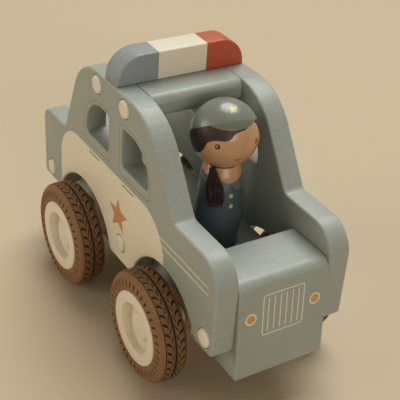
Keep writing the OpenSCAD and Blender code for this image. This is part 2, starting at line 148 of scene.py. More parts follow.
class NodeSheet:
    """One material's nodes, with short calls that add and link them."""

    def __init__(self, name: str) -> None:
        """Starts a material with a principled shader.

        Args:
            name: Name of the material.
        """
        self.material = bpy.data.materials.new(name)
        self.material.use_nodes = True
        self.nodes = self.material.node_tree.nodes
        self.links = self.material.node_tree.links
        self.nodes.clear()
        output = self.nodes.new("ShaderNodeOutputMaterial")
        self.shader = self.nodes.new("ShaderNodeBsdfPrincipled")
        self.links.new(self.shader.outputs["BSDF"], output.inputs["Surface"])
        self.place = self.nodes.new("ShaderNodeTexCoord").outputs["Object"]

    def constant(self, **values: float) -> None:
        """Sets the shader's own sockets, with _ for a space in a socket's name."""
        for key, value in values.items():
            self.shader.inputs[key.replace("_", " ")].default_value = value

    def feed(self, socket: Socket, name: str) -> None:
        """Links a socket to the shader's input of that name."""
        self.links.new(socket, self.shader.inputs[name])

    def noise(self, scale: float, detail: float, stretch: Scales | None = None, rough: float = 0.5) -> Socket:
        """Adds a noise texture in the piece's own coordinates.

        Args:
            scale: Features per metre.
            detail: Octaves.
            stretch: Scales along X, Y and Z, or None for an even texture.
            rough: Share of each finer octave.

        Returns:
            The noise's value, about 0.5 on average.
        """
        node = self.nodes.new("ShaderNodeTexNoise")
        node.inputs["Scale"].default_value = scale
        node.inputs["Detail"].default_value = detail
        node.inputs["Roughness"].default_value = rough
        source = self.place
        if stretch is not None:
            mapping = self.nodes.new("ShaderNodeMapping")
            mapping.inputs["Scale"].default_value = stretch
            self.links.new(source, mapping.inputs["Vector"])
            source = mapping.outputs["Vector"]
        self.links.new(source, node.inputs["Vector"])
        return node.outputs["Fac"]

    def spread(
        self, value: Socket, low: float, high: float, start: float = 0.3, end: float = 0.7
    ) -> Socket:
        """Maps a value from start..end to low..high.

        Args:
            value: The socket that is read.
            low: Result at start.
            high: Result at end.
            start: Input that gives low.
            end: Input that gives high.

        Returns:
            The mapped socket.
        """
        node = self.nodes.new("ShaderNodeMapRange")
        for key, number in (("From Min", start), ("From Max", end), ("To Min", low), ("To Max", high)):
            node.inputs[key].default_value = number
        self.links.new(value, node.inputs["Value"])
        return node.outputs["Result"]

    def times(self, a: Socket, b: Socket) -> Socket:
        """Multiplies two values.

        Args:
            a: Socket of the first value.
            b: Socket of the second value.

        Returns:
            Socket of their product.
        """
        node = self.nodes.new("ShaderNodeMath")
        node.operation = "MULTIPLY"
        self.links.new(a, node.inputs[0])
        self.links.new(b, node.inputs[1])
        return node.outputs["Value"]

    def attribute(self, name: str) -> Socket:
        """Reads a value that is stored on the mesh's points.

        Args:
            name: Name of the value.

        Returns:
            The value's socket.
        """
        node = self.nodes.new("ShaderNodeAttribute")
        node.attribute_name = name
        return node.outputs["Fac"]

    def blend(self, share: Socket, a: Socket | Colour, b: Socket | Colour) -> Socket:
        """Mixes two colours.

        Args:
            share: How much of b shows.
            a: Colour, or the socket that gives it.
            b: Colour, or the socket that gives it.

        Returns:
            The mixed colour.
        """
        node = self.nodes.new("ShaderNodeMix")
        node.data_type = "RGBA"
        self.links.new(share, node.inputs[0])
        for index, colour in ((6, a), (7, b)):
            if isinstance(colour, Socket):
                self.links.new(colour, node.inputs[index])
            else:
                node.inputs[index].default_value = colour
        return node.outputs[2]

    def bump(self, *layers: tuple[Socket, float, float]) -> None:
        """Stacks bump layers on the shader's normal.

        Args:
            layers: Socket of the height, strength and depth in metres of each layer.
        """
        last = None
        for height, strength, depth in layers:
            node = self.nodes.new("ShaderNodeBump")
            node.inputs["Strength"].default_value = strength
            node.inputs["Distance"].default_value = depth
            self.links.new(height, node.inputs["Height"])
            if last is not None:
                self.links.new(last, node.inputs["Normal"])
            last = node.outputs["Normal"]
        self.feed(last, "Normal")


@dataclass(frozen=True)
class Paint:
    """Sprayed or printed paint on wood: faint grain under it, a soft mottle, and lighter edges that are
    partly worn paint and partly a painted highlight.
    """

    name: str
    colour: str
    roughness: float = 0.42
    coat: float = 0.0
    grain: Grain = Grain.ALONG_Y
    grain_depth: float = 0.00012
    wear_and_light: float = 0.0
    mottle: float = 0.05
    mottle_scale: float = 38.0
    streak_tone: float = 0.93
    rubbed_and_lit_tone: float = 1.35
    rubbed_and_lit_scale: float = 420.0
    sheen_scale: float = 160.0
    coat_roughness: float = 0.12
    peel_scale: float = 1500.0
    peel_depth: float = 0.00004

    def make(self) -> Material:
        """Builds the paint.

        Returns:
            Its material.
        """
        sheet = NodeSheet(self.name)
        base = linear(self.colour)
        cloud = sheet.noise(self.mottle_scale, 3.0)
        tone = sheet.blend(cloud, shade(base, 1 - self.mottle), shade(base, 1 + self.mottle))
        streak = sheet.noise(1.0, 3.0, self.grain.value)
        tone = sheet.blend(sheet.spread(streak, 0.0, 0.5, 0.45, 0.75), tone, shade(base, self.streak_tone))
        # Lighter edges: worn paint and a painted highlight, in patches along the rounded edges
        if self.wear_and_light > 0:
            rubbed_and_lit = sheet.spread(sheet.noise(self.rubbed_and_lit_scale, 4.0), 0.0, self.wear_and_light, 0.45, 0.62)
            rubbed_and_lit = sheet.times(sheet.attribute(WEAR_AND_PAINTED_LIGHT), rubbed_and_lit)
            tone = sheet.blend(rubbed_and_lit, tone, shade(base, self.rubbed_and_lit_tone))
        sheet.feed(tone, "Base Color")
        sheen = sheet.noise(self.sheen_scale, 2.0)
        sheet.feed(sheet.spread(sheen, self.roughness - 0.05, self.roughness + 0.06), "Roughness")
        sheet.constant(Coat_Weight=self.coat, Coat_Roughness=self.coat_roughness)
        peel = sheet.noise(self.peel_scale, 1.0)
        sheet.bump((streak, 0.35, self.grain_depth), (peel, 0.12, self.peel_depth))
        return sheet.material


@dataclass(frozen=True)
class BareWood:
    """Clear-lacquered pale wood with growth lines along one axis."""

    name: str
    pale: str
    dark: str
    grain: Grain = Grain.ALONG_Z
    roughness: float = 0.48
    fleck_scale: float = 2.6
    fleck_tone: float = 0.7
    grain_depth: float = 0.00012

    def make(self) -> Material:
        """Builds the wood.

        Returns:
            Its material.
        """
        sheet = NodeSheet(self.name)
        line = sheet.noise(1.0, 4.0, self.grain.value, 0.62)
        fleck = sheet.noise(self.fleck_scale, 2.0, self.grain.value)
        deep = shade(linear(self.dark), self.fleck_tone)
        tone = sheet.blend(sheet.spread(line, 0.0, 0.75), linear(self.pale), linear(self.dark))
        tone = sheet.blend(sheet.spread(fleck, 0.0, 0.35, 0.55, 0.8), tone, deep)
        sheet.feed(tone, "Base Color")
        sheet.feed(sheet.spread(line, self.roughness - 0.06, self.roughness + 0.08), "Roughness")
        sheet.bump((line, 0.4, self.grain_depth))
        return sheet.material


@dataclass(frozen=True)
class TyreRubber:
    """Matt moulded rubber with painted shade on its tread and down in its grooves, and dusty on top."""

    name: str
    colour: str
    groove_shade: str
    dust: str
    dust_scale: float = 90.0
    grit_scale: float = 900.0
    grit_depth: float = 0.00012
    pore_scale: float = 3200.0
    pore_depth: float = 0.00004

    def make(self) -> Material:
        """Builds the rubber.

        Returns:
            Its material.
        """
        sheet = NodeSheet(self.name)
        cloud = sheet.noise(self.dust_scale, 4.0)
        tone = sheet.blend(sheet.spread(cloud, 0.0, 0.4), linear(self.colour), linear(self.dust))
        # Painted shade: the tread and its grooves are darkened towards the shade colour by the mesh's
        # painted-light value
        tone = sheet.blend(sheet.attribute(WEAR_AND_PAINTED_LIGHT), tone, linear(self.groove_shade))
        sheet.feed(tone, "Base Color")
        sheet.feed(sheet.spread(cloud, 0.62, 0.78), "Roughness")
        sheet.constant(Specular_IOR_Level=0.35)
        grit, pores = sheet.noise(self.grit_scale, 3.0), sheet.noise(self.pore_scale, 1.0)
        sheet.bump((grit, 0.25, self.grit_depth), (pores, 0.15, self.pore_depth))
        return sheet.material


@dataclass(frozen=True)
class DrawnSteel:
    """Plain drawn steel rod with fine lines along its length."""

    name: str
    colour: str
    line_scales: Scales = (60.0, 2600.0, 2600.0)
    line_tone: float = 0.85
    line_depth: float = 0.00003

    def make(self) -> Material:
        """Builds the steel.

        Returns:
            Its material.
        """
        sheet = NodeSheet(self.name)
        line, base = sheet.noise(1.0, 2.0, self.line_scales), linear(self.colour)
        sheet.feed(sheet.blend(line, shade(base, self.line_tone), base), "Base Color")
        sheet.feed(sheet.spread(line, 0.28, 0.42), "Roughness")
        sheet.constant(Metallic=1.0)
        sheet.bump((line, 0.2, self.line_depth))
        return sheet.material


@dataclass(frozen=True)
class Yarn:
    """Spun yarn: fibres of two tones with a soft fuzz."""

    name: str
    colour: str
    light: str
    fibre_scales: Scales = (2600.0, 2600.0, 500.0)
    fibre_depth: float = 0.00015

    def make(self) -> Material:
        """Builds the yarn.

        Returns:
            Its material.
        """
        sheet = NodeSheet(self.name)
        fibre = sheet.noise(1.0, 3.0, self.fibre_scales, 0.6)
        tone = sheet.blend(sheet.spread(fibre, 0.0, 0.8), linear(self.colour), linear(self.light))
        sheet.feed(tone, "Base Color")
        sheet.feed(sheet.spread(fibre, 0.75, 0.92), "Roughness")
        sheet.constant(Sheen_Weight=0.25, Sheen_Roughness=0.5, Specular_IOR_Level=0.25)
        sheet.bump((fibre, 0.6, self.fibre_depth))
        return sheet.material


@dataclass(frozen=True)
class PaleFloor:
    """A plain pale floor with the faintest cloud in it."""

    name: str
    colour: str
    cloud_scale: float = 9.0
    cloud: float = 0.015

    def make(self) -> Material:
        """Builds the floor's finish.

        Returns:
            Its material.
        """
        sheet = NodeSheet(self.name)
        base = linear(self.colour)
        cloud = sheet.noise(self.cloud_scale, 3.0)
        tone = sheet.blend(cloud, shade(base, 1 - self.cloud), shade(base, 1 + self.cloud))
        sheet.feed(tone, "Base Color")
        sheet.constant(Roughness=0.85, Specular_IOR_Level=0.2)
        return sheet.material


class Palette:
    """Every finish of the toy, made once and shared by its pieces."""

    def __init__(self) -> None:
        """Makes the finishes."""
        # Lighter edges on the boards and turned parts: worn paint and a painted highlight
        self.blue = Paint("grey_blue_paint", "999F97", wear_and_light=0.5).make()
        open_grain = {"grain": Grain.ALONG_X, "grain_depth": 0.0003, "mottle": 0.09}
        self.blue_block = Paint("grey_blue_paint_block", "999F97", wear_and_light=0.5, **open_grain).make()
        self.cream = Paint("cream_paint", "E4DAC4", wear_and_light=0.2).make()
        self.cream_turned = Paint("cream_turned_paint", "E4DAC4", grain=Grain.ALONG_X, wear_and_light=0.2).make()
        self.star = Paint("orange_print", "C98A58").make()
        self.amber = Paint("amber_print", "CB9450").make()
        self.line = Paint("brown_print", "8C7B6A").make()
        self.stripe = Paint("stripe_print", "DCD8C9").make()
        self.bar_blue = Paint("lamp_blue_paint", "8B9396", grain=Grain.ALONG_X, wear_and_light=0.4).make()
        self.bar_red = Paint("lamp_red_paint", "B44C2F", grain=Grain.ALONG_X, wear_and_light=0.4).make()
        # 22130A is the painted shade of the tyre's tread and grooves
        self.rubber = TyreRubber("brown_rubber", "805B3C", "22130A", "8F6E4C").make()
        self.steel = DrawnSteel("drawn_steel", "C2C0BC").make()
        self.maple = BareWood("pale_wood", "E6CDA6", "CBA878").make()
        self.maple_block = BareWood("pale_wood_block", "E0C59C", "C4A071", grain=Grain.ALONG_X).make()
        gloss = {"roughness": 0.34, "coat": 0.4, "grain": Grain.ALONG_Z}
        gloss |= {"grain_depth": 0.00005, "mottle": 0.03}
        self.skin = Paint("brown_skin_paint", "C19169", **gloss).make()
        self.hair = Paint("dark_hair_paint", "1F0A05", **{**gloss, "roughness": 0.55, "coat": 0.06}).make()
        self.eye = Paint("eye_paint", "36170B", **{**gloss, "coat": 0.1}).make()
        self.cap = Paint("cap_paint", "6F776F", **gloss).make()
        self.visor = Paint("visor_paint", "62675B", **gloss).make()
        self.gold = Paint("yellow_paint", "CBBF4A", **gloss).make()
        self.lips = Paint("mouth_paint", "A8482F", **gloss).make()
        self.navy = Paint("slate_blue_paint", "43575D", **gloss).make()
        self.collar = Paint("collar_paint", "626B66", **gloss).make()
        self.yarn = Yarn("hair_yarn", "1E0F0A", "3A2219").make()
        self.floor = PaleFloor("pale_floor", "CAB99D").make()


def arc_step(radius: float) -> float:
    """Angle between points of an arc, in degrees, for an even smoothness at any radius."""
    step = math.degrees(2 * math.acos(max(0.0, 1 - ARC_SAG / radius)))
    return min(ARC_STEPS[1], max(ARC_STEPS[0], step))


def arc(centre: Point, radius: float, start: float, end: float) -> Loop:
    """Points along an arc, with both ends.

    Args:
        centre: Centre of the circle.
        radius: Radius of the circle.
        start: First angle in degrees, anticlockwise from the first axis.
        end: Last angle in degrees.

    Returns:
        The points in order.
    """
    count = max(2, math.ceil(abs(end - start) / arc_step(radius)) + 1)
    turns = np.radians(np.linspace(start, end, count))
    return [(centre[0] + radius * math.cos(t), centre[1] + radius * math.sin(t)) for t in turns]


def circle(centre: Point, radius: float) -> Loop:
    """Points round a full circle, anticlockwise."""
    return arc(centre, radius, 0.0, 360.0)[:-1]


def rounded(corners: Sequence[tuple[float, ...]]) -> Loop:
    """Draws a closed outline whose corners may be rounded.

    Args:
        corners: Corners as (x, y) or (x, y, radius), in order.

    Returns:
        The outline's points.
    """
    found: Loop = []
    for i, corner in enumerate(corners):
        here = np.array(corner[:2], float)
        radius = corner[2] if len(corner) > 2 else 0.0
        if radius <= 0:
            found.append((float(here[0]), float(here[1])))
            continue
        back = np.array(corners[i - 1][:2], float) - here
        ahead = np.array(corners[(i + 1) % len(corners)][:2], float) - here
        back /= np.linalg.norm(back)
        ahead /= np.linalg.norm(ahead)
        half = math.acos(float(np.clip(back @ ahead, -1, 1))) / 2
        middle = here + (back + ahead) / np.linalg.norm(back + ahead) * radius / math.sin(half)
        first = here + back * radius / math.tan(half) - middle
        last = here + ahead * radius / math.tan(half) - middle
        start = math.degrees(math.atan2(first[1], first[0]))
        sweep = (math.degrees(math.atan2(last[1], last[0])) - start + 180) % 360 - 180
        found += arc((float(middle[0]), float(middle[1])), radius, start, start + sweep)
    return found


def upright(start: float, end: float, low: float, high: float, radius: float = 0.0) -> Loop:
    """Draws an upright rectangle with equal corners."""
    return rounded([(start, low, radius), (end, low, radius), (end, high, radius), (start, high, radius)])


def star_points(outer_r: float, inner_r: float) -> Loop:
    """Draws a five-pointed star about the origin, one point up.

    Args:
        outer_r: Radius of its points.
        inner_r: Radius of the corners between them.

    Returns:
        Its ten corners.
    """
    turns = [math.radians(90 + 36 * k) for k in range(10)]
    radii = [outer_r, inner_r] * 5
    return [(r * math.cos(t), r * math.sin(t)) for r, t in zip(radii, turns)]


def winding(loop: Loop) -> float:
    """Finds which way a loop runs.

    Args:
        loop: Closed loop.

    Returns:
        Its area, negative when it runs clockwise.
    """
    a = np.array(loop)
    b = np.roll(a, -1, axis=0)
    return float(np.sum(a[:, 0] * b[:, 1] - b[:, 0] * a[:, 1]) / 2)


def inset(loop: Loop, depth: float) -> Loop:
    """Moves a loop to its left by an even distance.

    Args:
        loop: Closed loop.
        depth: Distance, positive to the left of the way the loop runs.

    Returns:
        The moved loop, point for point.
    """
    a = np.array(loop)
    step = np.roll(a, -1, axis=0) - a
    step /= np.linalg.norm(step, axis=1)[:, None]
    left = np.stack([-step[:, 1], step[:, 0]], axis=1)
    before = np.roll(left, 1, axis=0)
    sharp, straight = 0.4, 2.0
    spread = np.clip(1 + np.sum(left * before, axis=1), sharp, straight)
    moved = a + depth * (left + before) / spread[:, None]
    return [(float(p[0]), float(p[1])) for p in moved]


def inside(points: np.ndarray, loops: Sequence[Loop]) -> np.ndarray:
    """Tests which points lie in a shape of closed loops, by the even-odd rule.

    Args:
        points: One point in each row.
        loops: The shape's loops.

    Returns:
        True for each point inside.
    """
    found = np.zeros(len(points), bool)
    x, y = points[:, 0][:, None], points[:, 1][:, None]
    for loop in loops:
        a = np.array(loop)
        b = np.roll(a, -1, axis=0)
        spans = (a[:, 1][None] > y) != (b[:, 1][None] > y)
        rise = np.where(b[:, 1] == a[:, 1], 1.0, b[:, 1] - a[:, 1])
        cut = a[:, 0][None] + (y - a[:, 1][None]) * ((b[:, 0] - a[:, 0]) / rise)[None]
        found ^= np.count_nonzero(spans & (x < cut), axis=1) % 2 == 1
    return found


@dataclass
class Print:
    """A painted shape on a surface: closed loops filled by the even-odd rule, in one finish of the piece."""

    loops: list[Loop]
    finish: int
    wraps: bool = False


@dataclass
class Patch:
    """A flat region cut into triangles along its borders and prints.

    Each point on a border is known by the border's number and its own, and each point that a print adds to a
    border by the edge that it lies on.
    """

    points: list[Point]
    border: list[Edge | None]
    triangles: list[tuple[int, int, int]]
    finish: list[int]
    added: dict[Edge, list[int]]


def split_borders(
    points: np.ndarray, fresh: Sequence[int], borders: Sequence[Loop]
) -> dict[Edge, list[int]]:
    """Finds the points that prints add to the borders of a region.

    Args:
        points: The region's points, one in each row.
        fresh: Numbers of the points that are not in any loop.
        borders: The region's borders.

    Returns:
        The added points of each edge, in order along it.
    """
    added: dict[Edge, list[int]] = {}
    for v in fresh:
        for number, loop in enumerate(borders):
            a = np.array(loop)
            way = np.roll(a, -1, axis=0) - a
            share = np.clip(np.sum((points[v] - a) * way, axis=1) / np.sum(way * way, axis=1), 0, 1)
            gap = np.linalg.norm(a + way * share[:, None] - points[v], axis=1)
            if gap.min() < NEAR:
                added.setdefault((number, int(gap.argmin())), []).append(v)
    for (number, i), ids in added.items():
        start = np.array(borders[number][i])
        ids.sort(key=lambda v: float(np.linalg.norm(points[v] - start)))
    return added


def cut_patch(borders: Sequence[Loop], prints: Sequence[Print], spots: Sequence[Point] = ()) -> Patch:
    """Cuts a flat region into triangles whose edges follow every border and print.

    Args:
        borders: The outer loop, then the loops of holes.
        prints: Painted shapes, of which later ones cover earlier ones.
        spots: More points that the triangles meet at.

    Returns:
        The triangles, and which border point each point is.
    """
    coords: list[Point] = []
    owner: list[Edge | None] = []
    edges: list[Edge] = []
    for number, loop in enumerate([*borders, *(one for p in prints for one in p.loops)]):
        base = len(coords)
        coords += loop
        owner += [(number, i) if number < len(borders) else None for i in range(len(loop))]
        edges += [(base + i, base + (i + 1) % len(loop)) for i in range(len(loop))]
    coords += list(spots)
    owner += [None] * len(spots)
    made = delaunay_2d_cdt([Vector(p) for p in coords], edges, [], 0, TOUCH)
    points = np.array([tuple(v) for v in made[0]])
    triangles = np.array([tuple(t) for t in made[2]])
    middles = points[triangles].mean(axis=1)
    kept = inside(middles, borders[:1])
    for hole in borders[1:]:
        kept &= ~inside(middles, [hole])
    triangles, middles = triangles[kept], middles[kept]
    finish = np.zeros(len(triangles), int)
    for one in prints:
        finish[inside(middles, one.loops)] = one.finish
    border = [next((owner[i] for i in ids if owner[i] is not None), None) for ids in made[3]]
    fresh = [v for v, ids in enumerate(made[3]) if not ids]
    return Patch(
        [(float(p[0]), float(p[1])) for p in points],
        border,
        [(int(t[0]), int(t[1]), int(t[2])) for t in triangles],
        [int(f) for f in finish],
        split_borders(points, fresh, borders),
    )


class Draft:
    """A mesh being drawn in millimetres: points with a value for worn paint and painted light, and faces with
    a finish.
    """

    def __init__(self) -> None:
        """Starts with no points."""
        self.points: list[Spot] = []
        self.wear_and_light: list[float] = []
        self.faces: list[tuple[int, ...]] = []
        self.finish: list[int] = []
        self.smooth: list[bool] = []

    def point(self, spot: Spot, wear_and_light: float = 0.0) -> int:
        """Adds a point.

        Args:
            spot: Where it is.
            wear_and_light: On a board, how much lighter its edge paint is, as worn paint and a painted
                highlight; on a tyre, how dark its painted shade is.

        Returns:
            The point's number.
        """
        self.points.append(spot)
        self.wear_and_light.append(wear_and_light)
        return len(self.points) - 1

    def face(self, corners: Sequence[int], finish: int = 0, smooth: bool = True) -> None:
        """Adds a face, leaving out corners that repeat.

        Args:
            corners: Numbers of its points, in order.
            finish: Its finish.
            smooth: Whether it shades as part of a curved surface.
        """
        kept = [c for i, c in enumerate(corners) if c != corners[i - 1]]
        if len(kept) > 2:
            self.faces.append(tuple(kept))
            self.finish.append(finish)
            self.smooth.append(smooth)

    def band(self, low: Sequence[int], high: Sequence[int]) -> None:
        """Joins two closed rings of the same length with quads.

        Args:
            low: Numbers of the first ring's points.
            high: Numbers of the second ring's points.
        """
        for i in range(len(low)):
            j = (i + 1) % len(low)
            self.face((low[i], low[j], high[j], high[i]))

    def tube(self, rings: Sequence[Sequence[int]]) -> None:
        """Joins rings of points into a tube with closed ends.

        Args:
            rings: Numbers of the points of each ring, from one end to the other.
        """
        for low, high in zip(rings, rings[1:]):
            self.band(low, high)
        self.face(rings[0])
        self.face(rings[-1])

    def join(self, other: "Draft") -> None:
        """Adds another draft's points and faces to this one.

        Args:
            other: The other draft.
        """
        base = len(self.points)
        self.points += other.points
        self.wear_and_light += other.wear_and_light
        self.faces += [tuple(c + base for c in f) for f in other.faces]
        self.finish += other.finish
        self.smooth += other.smooth

    def piece(
        self, name: str, finishes: Sequence[Material], weld: float = 0.0, crease: float = 40.0
    ) -> Piece:
        """Turns the draft into a Blender object.

        Args:
            name: Name of the object.
            finishes: Materials, in the order of the faces' finish numbers.
            weld: Distance in millimetres under which points become one, or 0.
            crease: Angle in degrees above which an edge shades as sharp.

        Returns:
            The object, at the origin.
        """
        mesh = bpy.data.meshes.new(name)
        mesh.from_pydata([(x * MM, y * MM, z * MM) for x, y, z in self.points], [], self.faces)
        for material in finishes:
            mesh.materials.append(material)
        mesh.polygons.foreach_set("material_index", self.finish)
        mesh.polygons.foreach_set("use_smooth", self.smooth)
        mesh.attributes.new(WEAR_AND_PAINTED_LIGHT, "FLOAT", "POINT").data.foreach_set("value", self.wear_and_light)
        work = bmesh.new()
        work.from_mesh(mesh)
        if weld > 0:
            bmesh.ops.remove_doubles(work, verts=work.verts, dist=weld * MM)
            bmesh.ops.dissolve_degenerate(work, dist=SHORT_EDGE, edges=work.edges)
        bmesh.ops.delete(work, geom=[v for v in work.verts if not v.link_faces], context="VERTS")
        bmesh.ops.recalc_face_normals(work, faces=work.faces)
        work.to_mesh(mesh)
        work.free()
        mesh.set_sharp_from_angle(angle=math.radians(crease))
        made = bpy.data.objects.new(name, mesh)
        bpy.context.scene.collection.objects.link(made)
        return made


@dataclass
class Rim:
    """The border points of a board's flat face: a ring for each loop, and what prints add to its edges."""

    rings: list[list[int]]
    added: dict[Edge, list[int]]


@dataclass
class Slab:
    """A board with rounded edges: an outline with holes, between two flat faces."""

    outer: Loop
    low: float
    high: float
    edge_r: float
    holes: list[tuple[Loop, float]] = field(default_factory=list)
    prints: list[Print] = field(default_factory=list)
    both_faces: bool = False
    steps: int = 5
    # Share of lighter edge paint, worn paint and a painted highlight, at the face borders and on the straight
    # walls
    rim_wear_and_light: float = 0.25
    wall_wear_and_light: float = 0.3

    def draw(self, place: Place) -> Draft:
        """Draws the board.

        Args:
            place: Gives the spot of a point from its two outline coordinates and its depth.

        Returns:
            The board's mesh.
        """
        draft = Draft()
        loops = [(self.outer if winding(self.outer) > 0 else self.outer[::-1], self.edge_r)]
        loops += [(h if winding(h) < 0 else h[::-1], r) for h, r in self.holes]
        inner = [inset(loop, r) for loop, r in loops]
        low = self._face(draft, place, inner, self.low, self.prints if self.both_faces else [])
        high = self._face(draft, place, inner, self.high, self.prints)
        for k, (loop, radius) in enumerate(loops):
            stack = [low.rings[k], *self._rings(draft, loop, radius, place), high.rings[k]]
            last = len(stack) - 2
            for level, (below, above) in enumerate(zip(stack, stack[1:])):
                painted = self.both_faces or level >= len(stack) // 2
                for i in range(len(loop)):
                    j = (i + 1) % len(loop)
                    low_more = low.added.get((k, i), []) if level == 0 else []
                    high_more = high.added.get((k, i), []) if level == last else []
                    corners = [below[i], *low_more, below[j], above[j], *reversed(high_more), above[i]]
                    draft.face(corners, self._wrapped(loop[i], loop[j]) if painted else 0)
        return draft

    def _face(
        self, draft: Draft, place: Place, loops: list[Loop], depth: float, prints: list[Print]
    ) -> Rim:
        """Adds one of the two flat faces.

        Args:
            draft: The mesh that gets the face.
            place: Gives the spot of a point.
            loops: The face's borders.
            depth: Its depth.
            prints: The paint on it.

        Returns:
            Its border points.
        """
        patch = cut_patch(loops, prints)
        numbers: list[int] = []
        by_border: dict[Edge, int] = {}
        for spot, owner in zip(patch.points, patch.border):
            numbers.append(draft.point(place(*spot, depth), self.rim_wear_and_light if owner else 0.0))
            if owner:
                by_border[owner] = numbers[-1]
        for corners, finish in zip(patch.triangles, patch.finish):
            draft.face([numbers[c] for c in corners], finish, smooth=False)
        rings = [[by_border[(k, i)] for i in range(len(loop))] for k, loop in enumerate(loops)]
        return Rim(rings, {edge: [numbers[v] for v in ids] for edge, ids in patch.added.items()})

    def _rings(self, draft: Draft, loop: Loop, radius: float, place: Place) -> list[list[int]]:
        """Adds the rings of points between the two faces of one loop.

        Args:
            draft: The mesh that gets the points.
            loop: The loop at full size.
            radius: Radius of its edges.
            place: Gives the spot of a point.

        Returns:
            The rings from the low face to the high one, without the faces' own borders.
        """
        turns = [math.pi / 2 * k / self.steps for k in range(self.steps)]
        levels = [(t, self.low + radius * (1 - math.sin(t))) for t in reversed(turns)]
        levels += [(t, self.high - radius * (1 - math.sin(t))) for t in turns]
        rings = []
        for turn, depth in levels:
            moved = inset(loop, radius * (1 - math.cos(turn)))
            # Lighter edge paint, worn and a painted highlight, peaks halfway round each rounded edge
            wear_and_light = math.sin(2 * turn) if turn > 0 else self.wall_wear_and_light
            rings.append([draft.point(place(u, v, depth), wear_and_light) for u, v in moved])
        return rings

    def _wrapped(self, start: Point, end: Point) -> int:
        """Finds the finish of the board's wall along one edge of its outline.

        Args:
            start: The edge's first point.
            end: Its last point.

        Returns:
            The finish of the last print that wraps over the edge there, or 0.
        """
        middle = np.array([[(start[0] + end[0]) / 2, (start[1] + end[1]) / 2]])
        finish = 0
        for one in self.prints:
            if one.wraps and inside(middle, one.loops)[0]:
                finish = one.finish
        return finish


def turned(profile: Sequence[Point], place: Place, segments: int = 96) -> Draft:
    """Turns a profile about its axis, as on a lathe.

    Args:
        profile: Closed loop, or a line between two points on the axis, as (radius, height).
        place: Gives the spot of a point from x and y across the axis and its height along it.
        segments: Points round the axis.

    Returns:
        The turned mesh.
    """
    draft = Draft()
    turns = [2 * math.pi * k / segments for k in range(segments)]
    rings = []
    for radius, height in profile:
        if radius < ON_AXIS:
            rings.append([draft.point(place(0.0, 0.0, height))] * segments)
        else:
            spots = [(radius * math.cos(t), radius * math.sin(t), height) for t in turns]
            rings.append([draft.point(place(*spot)) for spot in spots])
    closed = profile[0][0] > ON_AXIS
    for i in range(len(rings) if closed else len(rings) - 1):
        draft.band(rings[i], rings[(i + 1) % len(rings)])
    return draft


@dataclass
class PaintedTurning:
    """A turned piece with painted shapes on its skin, which is cut flat, by distance round and down it."""

    profile: list[Point]
    radius: float
    prints: list[Print]
    columns: int
    rows: int

    def unroll(self, turn: float, down: float) -> Point:
        """Place on the flat sheet of a turn in degrees and a distance down the profile."""
        return (math.radians(turn) * self.radius, down)

    def lengths(self) -> np.ndarray:
        """Distance of each point of the profile down it."""
        steps = np.linalg.norm(np.diff(np.array(self.profile), axis=0), axis=1)
        return np.concatenate([[0.0], np.cumsum(steps)])

    def draw(self, place: Place) -> Draft:
        """Draws the piece.

        Args:
            place: Gives the spot of a point from x and y across the axis and its height along it.

        Returns:
            The mesh, whose seam at the back still needs a weld.
        """
        line, down = np.array(self.profile), self.lengths()
        half = math.pi * self.radius
        across = np.linspace(-half, half, self.columns + 1)
        rows = np.unique(np.concatenate([np.linspace(0, down[-1], self.rows), down]))
        ring = [(float(u), 0.0) for u in across] + [(half, float(v)) for v in rows[1:]]
        ring += [(float(u), float(down[-1])) for u in across[::-1][1:]]
        ring += [(-half, float(v)) for v in rows[::-1][1:-1]]
        spots = [(float(u), float(v)) for v in rows[1:-1] for u in across[1:-1]]
        patch = cut_patch([ring], self.prints, spots)
        draft = Draft()
        for u, v in patch.points:
            turn = u / self.radius
            r, height = (float(np.interp(v, down, line[:, k])) for k in (0, 1))
            draft.point(place(r * math.sin(turn), -r * math.cos(turn), height))
        for corners, finish in zip(patch.triangles, patch.finish):
            draft.face(corners, finish)
        return draft


def own(piece: Piece, body: str, slot: str, *nodes: str) -> Piece:
    """Sets a finished piece on its body and in place of its CAD nodes.

    Args:
        piece: The piece, in place.
        body: CAD body that it moves with.
        slot: Name of a material slot; not used.
        nodes: CAD nodes that it stands for.

    Returns:
        The piece.
    """
    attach(piece, body)
    if nodes:
        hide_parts(*nodes)
    LOG.info("%s rides on %s, %d faces", piece.name, body, len(piece.data.polygons))
    return piece


def dress(node: str, finish: Material) -> None:
    """Gives a kept CAD node its finish.

    Args:
        node: Name of the node.
        finish: Its material.
    """
    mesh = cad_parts[node].data
    mesh.materials.clear()
    mesh.materials.append(finish)
    LOG.info("%s keeps its solid, in %s", node, finish.name)


class PanelPaint(IntEnum):
    """Finishes of a side panel, in the order of its materials."""

    BLUE = 0
    CREAM = 1
    STAR = 2
    LINE = 3
    STRIPE = 4


